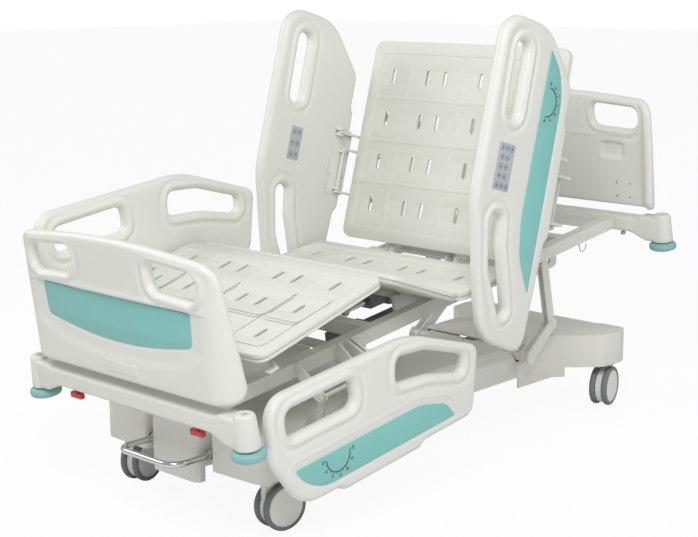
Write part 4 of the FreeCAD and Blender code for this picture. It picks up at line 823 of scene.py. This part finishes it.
# %% End beams, cones and bumpers
CONE_X = 0.458
CONE_Y = 1.05
FOOT_BEAM_FACE = -1.084
HEAD_BEAM_FACE = 1.080
CONE = [(0.0, 0.016), (0.030, 0.016), (0.0365, 0.019), (0.0375, 0.026), (0.0315, 0.106), (0.0285, 0.114),
        (0.024, 0.1175), (0.0125, 0.118), (0.0095, 0.1165), (0.009, 0.110), (0.009, 0.06), (0.0, 0.06)]


def model_beam(name, face, sign):
    place = end_place(face, sign)
    outline = [(-0.450, 0.108, 0.012), (-0.385, 0.108, 0.02), (-0.365, 0.100, 0.02), (0.365, 0.100, 0.02),
               (0.385, 0.108, 0.02), (0.450, 0.108, 0.012), (0.455, 0.018, 0.012), (0.405, 0.018, 0.02),
               (0.340, 0.045, 0.05), (-0.340, 0.045, 0.05), (-0.405, 0.018, 0.02), (-0.455, 0.018, 0.012)]
    pieces = [plate(name, [outline], -0.066, -0.002, 0.011, place)]
    for x in (-CONE_X, CONE_X):
        spot = DECK @ Matrix.Translation((x, sign * CONE_Y, 0))
        pieces.append(turned(name + "_cone", CONE, spot))
    return join(name, *pieces)


foot_beam = model_beam("foot_beam_shell", FOOT_BEAM_FACE, -1)
head_beam = model_beam("head_beam_shell", HEAD_BEAM_FACE, 1)
dress(foot_beam, COVER, "deck", ["foot_beam"])
dress(head_beam, COVER, "deck", ["head_beam"])
BUMPER_PROFILE = [(0.0075, 0.013), (0.030, 0.0135), (0.042, 0.011), (0.0475, 0.006), (0.0492, 0.0),
                  (0.0487, -0.006), (0.046, -0.011), (0.040, -0.0138), (0.020, -0.0138), (0.0075, -0.0138),
                  (0.0075, 0.013)]
for end, sign in (("foot", -1), ("head", 1)):
    for name, side in (("left", 1), ("right", -1)):
        body = f"bumper_{end}_{name}"
        spot = DECK @ Matrix.Translation((side * CONE_X, sign * CONE_Y, 0))
        dress(turned(body + "_tyre", BUMPER_PROFILE, spot, 48), BUMPER, body, [body])
print("beams and bumpers dressed")

# %% [markdown]
# A drainage hook hangs from each side tube, and a knob screw clamps each head board post from below
# the beam. Both are small turned or bent parts whose upper ends sit inside what carries them.

# %% Hooks and knobs
KNOB_SCREW = [(0.0, 0.070), (0.0030, 0.070), (0.0030, 0.034), (0.0080, 0.033), (0.0095, 0.030),
              (0.0095, 0.024), (0.0080, 0.021), (0.0, 0.020)]
for side, name in ((1, "left"), (-1, "right")):
    x = side * 0.265
    hook = [(x, 0.800, 0.070), (x, 0.800, 0.036), (x, 0.806, 0.022), (x, 0.822, 0.014), (x, 0.838, 0.024),
            (x, 0.844, 0.038)]
    dress(tube("drain_hook_" + name, hook, 0.0026, DECK, 0.008, 6), PAINT, "deck")
    knob = DECK @ Matrix.Translation((side * 0.289, 1.052, 0.0))
    dress(turned("knob_screw_" + name, KNOB_SCREW, knob, 20), STEEL, "deck")
print("hooks and knobs on the deck")

# %% [markdown]
# The head and middle covers of the base, the control box and the two red locks get rolled edges,
# which catch the light along their rims. The foot cover stays the plain CAD part, because a rolled
# copy of it brushed the lift lever when that moved.

# %% Covers with rolled edges
for node, body, width in (("base_cover_head", "base", 0.009), ("base_cover_middle", "base", 0.006),
                          ("control_unit", "deck", 0.006)):
    dress(rounded_copy(node, node + "_shell", width), COVER, body, [node])
for node in ("board_lock_left", "board_lock_right"):
    dress(rounded_copy(node, node + "_grip", 0.002), RED, node, [node])
print("covers rolled")

# %% [markdown]
# A caster has two wheels on one axle. Each is spun: a soft tread with round shoulders, and a domed
# cap that hides the hub, set off by a narrow ring.

# %% Caster wheels
# The side of the bed, the end, which way the wheels trail and the swivel in degrees.
CASTERS = {"foot_left": (1, -1, 1, -9), "foot_right": (-1, -1, 1, 12), "head_left": (1, 1, -1, 13),
           "head_right": (-1, 1, -1, -8)}
STEM_X = 0.305
STEM_HEAD_Y = 0.945
STEM_FOOT_Y = -0.830
WHEEL_GAP = 0.012
WHEEL_TRAIL = 0.045
WHEEL_RADIUS = 0.073
TREAD = [(0.0600, 0.0), (0.0665, 0.0004), (0.0705, 0.0025), (0.0725, 0.0060), (WHEEL_RADIUS, 0.0110),
         (0.0725, 0.0160), (0.0705, 0.0195), (0.0665, 0.0216), (0.0615, 0.0220), (0.0600, 0.0205),
         (0.0600, 0.0)]
CAP = [(0.0, 0.0228), (0.030, 0.0224), (0.050, 0.0212), (0.0575, 0.0202), (0.0585, 0.0190), (0.0598, 0.0190),
       (0.0599, 0.0012), (0.040, 0.0012), (0.0, 0.0012)]
for corner, (side, end, trail_side, swivel) in CASTERS.items():
    stem = FLOOR @ Matrix.Translation((side * STEM_X, STEM_HEAD_Y if end > 0 else STEM_FOOT_Y, 0))
    stem = stem @ Matrix.Rotation(math.radians(swivel), 4, "Z")
    treads, caps = [], []
    for out in (1, -1):
        axle = stem @ Matrix.Translation((out * WHEEL_GAP, trail_side * WHEEL_TRAIL, WHEEL_RADIUS))
        axle = axle @ Matrix.Rotation(math.radians(90 * out), 4, "Y")
        treads.append(turned(f"tread_{corner}", TREAD, axle, 56))
        caps.append(turned(f"cap_{corner}", CAP, axle, 56))
    body = "wheels_" + corner
    dress(join("caster_tread_" + corner, *treads), TYRE, body, ["caster_wheels_" + corner])
    dress(join("caster_cap_" + corner, *caps), HUB, body)
print("casters:", len(CASTERS))

# %% [markdown]
# Each rail hangs on the lugs of its CAD part, which the moulded skin above doesn't have. They are
# copied from the CAD part as the faces inside the rail's inner plane. A screwed plate backs them.

# %% Rail lugs and hinge plates
LUG_LIMIT = 0.4519
BACKING_PROUD = 0.0008
HINGE_SCREW = [(0.0, 0.0002), (0.0015, 0.0002), (0.0019, 0.0008), (0.0038, 0.0007), (0.0048, 0.0001),
               (0.0048, -0.0004)]


def rail_fittings(end, name, side, place, y, low):
    node = f"{end}_rail_{name}"
    lugs = cad_part(node, node + "_lugs", lambda co: co.x * side < LUG_LIMIT)
    dress(lugs, PAINT, node)
    sheet = rectangle(y - 0.118, low, y + 0.118, low + 0.104, 0.008)
    back = plate(node + "_backing", [sheet], RAIL_INNER - BACKING_PROUD, RAIL_INNER + 0.0015, 0.0005,
                 place @ ALONG)
    screws = []
    for u in (y - 0.104, y - 0.055, y + 0.104):
        for v in (low + 0.016, low + 0.088):
            spot = place @ Matrix.Translation((RAIL_INNER - BACKING_PROUD, u, v))
            screws.append(turned("screw", HINGE_SCREW, spot @ Matrix.Rotation(-math.pi / 2, 4, "Y"), 16))
    screws = join(node + "_screws", *screws)
    if side < 0:
        settle(back, MIRROR)
        settle(screws, MIRROR)
    dress(back, PAINT, node)
    dress(screws, STEEL, node)


for name, side in (("left", 1), ("right", -1)):
    rail_fittings("head", name, side, BACK, 0.280, 0.068)
    rail_fittings("foot", name, side, foot_lowered if side > 0 else DECK, -0.560, 0.168)
print("rail fittings: 4")

# %% [markdown]
# The head rails carry keypads on both faces: a film with rows of ring-shaped keys, each with an
# arrow. All marks of one keypad are loops of one flat curve, so they are cut out in a single step.


# %% Keypads
def ring(u, v, r, wall=0.0010):
    return [oval(u, v, 2 * r, 2 * r), oval(u, v, 2 * (r - wall), 2 * (r - wall))]


def arrow(u, v, size, up):
    tip = size if up else -size
    return [(u + tip, v, 0.0003), (u - tip * 0.7, v + size, 0.0003), (u - tip * 0.7, v - size, 0.0003)]


def keypad(name, body, side, outer, low, high, rows):
    """rows holds the v places of the keys in each row, from the top row down."""
    face = RAIL_OUTER if outer else RAIL_INNER
    out = 1 if outer else -1
    film = rectangle(*low, *high, 0.003)
    heights = sorted((face - out * 0.0006, face + out * 0.0009))
    sheet = plate(name + "_film", [film], heights[0], heights[1], 0.0003, BACK @ ALONG, 3)
    loops = []
    pitch = (high[0] - low[0]) / len(rows)
    for i, places in enumerate(rows):
        u = high[0] - pitch * (i + 0.5)
        for j, v in enumerate(places):
            loops += ring(u, v, 0.0092)
            loops.append(arrow(u, v, 0.0042, (i + j) % 2 == 0))
    heights = sorted((face + out * 0.0007, face + out * 0.0013))
    marks = plate(name + "_marks", loops, heights[0], heights[1], 0.0001, BACK @ ALONG, 4)
    if side < 0:
        settle(sheet, MIRROR)
        settle(marks, MIRROR)
    dress(sheet, KEYPAD, body)
    dress(marks, INK, body)


for name, side in (("left", 1), ("right", -1)):
    body = "head_rail_" + name
    keypad("nurse_keys_" + name, body, side, True, (0.222, 0.344), (0.370, 0.426),
           [(0.406, 0.382, 0.358), (0.402, 0.376), (0.402, 0.376), (0.402, 0.376), (0.406, 0.382, 0.358)])
    keypad("patient_keys_" + name, body, side, False, (0.244, 0.326), (0.363, 0.383),
           [(0.367, 0.342), (0.367, 0.342), (0.367, 0.342)])
print("keypads: 4")

# %% [markdown]
# A half-round scale in each teal inlay reads the section's angle. Its arc, ticks and numbers are
# flat marks, a little proud of the inlay.

# %% Angle scales
ARC_STEPS = 28
ARC_HALF = 0.0014
TICKS = 12
NUMBERS = 6
NUMBER_OUT = 0.0145


def angle_scale(name, body, side, place, centre, radius, first, last):
    def angles(count):
        return [math.radians(first + (last - first) * i / count) for i in range(count + 1)]

    def arc(r, turn):
        return [(centre[0] + r * math.cos(a), centre[1] + r * math.sin(a), 0.00005) for a in turn]

    turn = angles(ARC_STEPS)
    loops = [arc(radius + ARC_HALF, turn) + arc(radius - ARC_HALF, reversed(turn))]
    for i, a in enumerate(angles(TICKS)):
        long = 0.0062 if i % 2 == 0 else 0.0038
        along, across = Vector((math.cos(a), math.sin(a))), Vector((-math.sin(a), math.cos(a))) * 0.0005
        near_end = Vector(centre) + along * (radius + 0.0024)
        far_end = near_end + along * long
        corners = (near_end - across, far_end - across, far_end + across, near_end + across)
        loops.append([(*corner, 0.0001) for corner in corners])
    pieces = [plate(name, loops, RAIL_OUTER - 0.0008, RAIL_OUTER + 0.0002, 0.0001, place @ ALONG, 2)]
    for i, a in enumerate(angles(NUMBERS)):
        text = bpy.data.curves.new(name + "_number", "FONT")
        text.body = str(abs(i * 15 - 30))
        text.size = 0.0115
        text.align_x = text.align_y = "CENTER"
        text.extrude = 0.0003
        number = bpy.data.objects.new(name + "_number", text)
        bpy.context.collection.objects.link(number)
        only(number)
        bpy.ops.object.convert(target="MESH")
        u, v, _ = arc(radius + NUMBER_OUT, [a])[0]
        spot = Matrix.Translation((u, v, RAIL_OUTER - 0.0003)) @ Matrix.Rotation(a + math.pi / 2, 4, "Z")
        if side < 0:
            spot = spot @ MIRROR
        settle(number, place @ ALONG @ spot)
        pieces.append(number)
    scale = join(name, *pieces)
    if side < 0:
        settle(scale, MIRROR)
    return dress(scale, INK, body)


for name, side in (("left", 1), ("right", -1)):
    angle_scale("head_scale_" + name, "head_rail_" + name, side, BACK, (0.5352, 0.218), 0.0461, 0, -180)
    angle_scale("foot_scale_" + name, "foot_rail_" + name, side, foot_lowered if side > 0 else DECK,
                (-0.7513, 0.2911), 0.0487, 180, 360)
print("angle scales: 4")

# %% [markdown]
# A pale floor lies under a pale sky, lit by three large soft lamps, so that white plastic keeps its
# shading. The camera stands where the photographer did.

# %% Floor, light and camera
FLOOR_WIDTH = 60
CAMERA_PLACE = (3.223, -3.609 + CENTRE_SHIFT, 1.601)


def make_floor():
    bpy.ops.mesh.primitive_plane_add(size=1, location=(0, 0, -0.0005))
    ground = only(bpy.context.object)
    ground.name = "floor"
    ground.data.transform(Matrix.Scale(FLOOR_WIDTH, 4))
    material = bpy.data.materials.new("Pale floor")
    material.use_nodes = True
    nodes, links = material.node_tree.nodes, material.node_tree.links
    nodes.clear()
    out = nodes.new("ShaderNodeOutputMaterial")
    white = nodes.new("ShaderNodeEmission")
    white.inputs["Color"].default_value = (1, 1, 1, 1)
    white.inputs["Strength"].default_value = 1.0
    seen = nodes.new("ShaderNodeBsdfDiffuse")
    seen.inputs["Color"].default_value = (0.9, 0.9, 0.9, 1)
    hidden = nodes.new("ShaderNodeBsdfDiffuse")
    hidden.inputs["Color"].default_value = (0.84, 0.84, 0.83, 1)
    blend = nodes.new("ShaderNodeMixShader")
    blend.inputs[0].default_value = 0.93
    path = nodes.new("ShaderNodeLightPath")
    pick = nodes.new("ShaderNodeMixShader")
    links.new(seen.outputs[0], blend.inputs[1])
    links.new(white.outputs[0], blend.inputs[2])
    links.new(path.outputs["Is Camera Ray"], pick.inputs[0])
    links.new(hidden.outputs[0], pick.inputs[1])
    links.new(blend.outputs[0], pick.inputs[2])
    links.new(pick.outputs[0], out.inputs["Surface"])
    ground.data.materials.append(material)


def set_world():
    world = bpy.data.worlds.new("Soft room")
    scene.world = world
    world.use_nodes = True
    nodes, links = world.node_tree.nodes, world.node_tree.links
    nodes.clear()
    out = nodes.new("ShaderNodeOutputWorld")
    seen = nodes.new("ShaderNodeBackground")
    seen.inputs["Color"].default_value = (1, 1, 1, 1)
    seen.inputs["Strength"].default_value = 1.0
    lit = nodes.new("ShaderNodeBackground")
    lit.inputs["Color"].default_value = (1.0, 1.0, 1.0, 1)
    lit.inputs["Strength"].default_value = 0.42
    path = nodes.new("ShaderNodeLightPath")
    pick = nodes.new("ShaderNodeMixShader")
    links.new(path.outputs["Is Camera Ray"], pick.inputs[0])
    links.new(lit.outputs[0], pick.inputs[1])
    links.new(seen.outputs[0], pick.inputs[2])
    links.new(pick.outputs[0], out.inputs["Surface"])


def lamp(name, place, aim, size, power):
    light = bpy.data.lights.new(name, "AREA")
    light.shape = "DISK"
    light.size = size
    light.energy = power
    obj = bpy.data.objects.new(name, light)
    bpy.context.collection.objects.link(obj)
    obj.location = place
    obj.rotation_euler = (Vector(aim) - Vector(place)).to_track_quat("-Z", "Y").to_euler()


def set_camera():
    yaw, pitch, tip = math.radians(42.998), math.radians(11.576), math.radians(-0.234)
    forward = Vector((-math.sin(yaw) * math.cos(pitch), math.cos(yaw) * math.cos(pitch), -math.sin(pitch)))
    level = Vector((math.cos(yaw), math.sin(yaw), 0))
    upward = level.cross(forward)
    right = level * math.cos(tip) + upward * math.sin(tip)
    up = upward * math.cos(tip) - level * math.sin(tip)
    data = bpy.data.cameras.new("camera")
    data.lens = 75.79
    data.sensor_width = 36
    data.clip_end = 100
    obj = bpy.data.objects.new("camera", data)
    bpy.context.collection.objects.link(obj)
    turn = Matrix((right, up, -forward)).transposed().to_4x4()
    obj.matrix_world = Matrix.Translation(CAMERA_PLACE) @ turn
    scene.camera = obj


make_floor()
set_world()
lamp("key", (2.2, -2.6, 3.6), (0, 0, 0.5), 2.2, 105)
lamp("fill", (3.4, 1.6, 2.2), (0, 0, 0.6), 2.4, 22)
lamp("left", (-3.0, -2.0, 2.8), (0, -0.3, 0.5), 2.4, 42)
set_camera()
scene.view_settings.view_transform = "Standard"
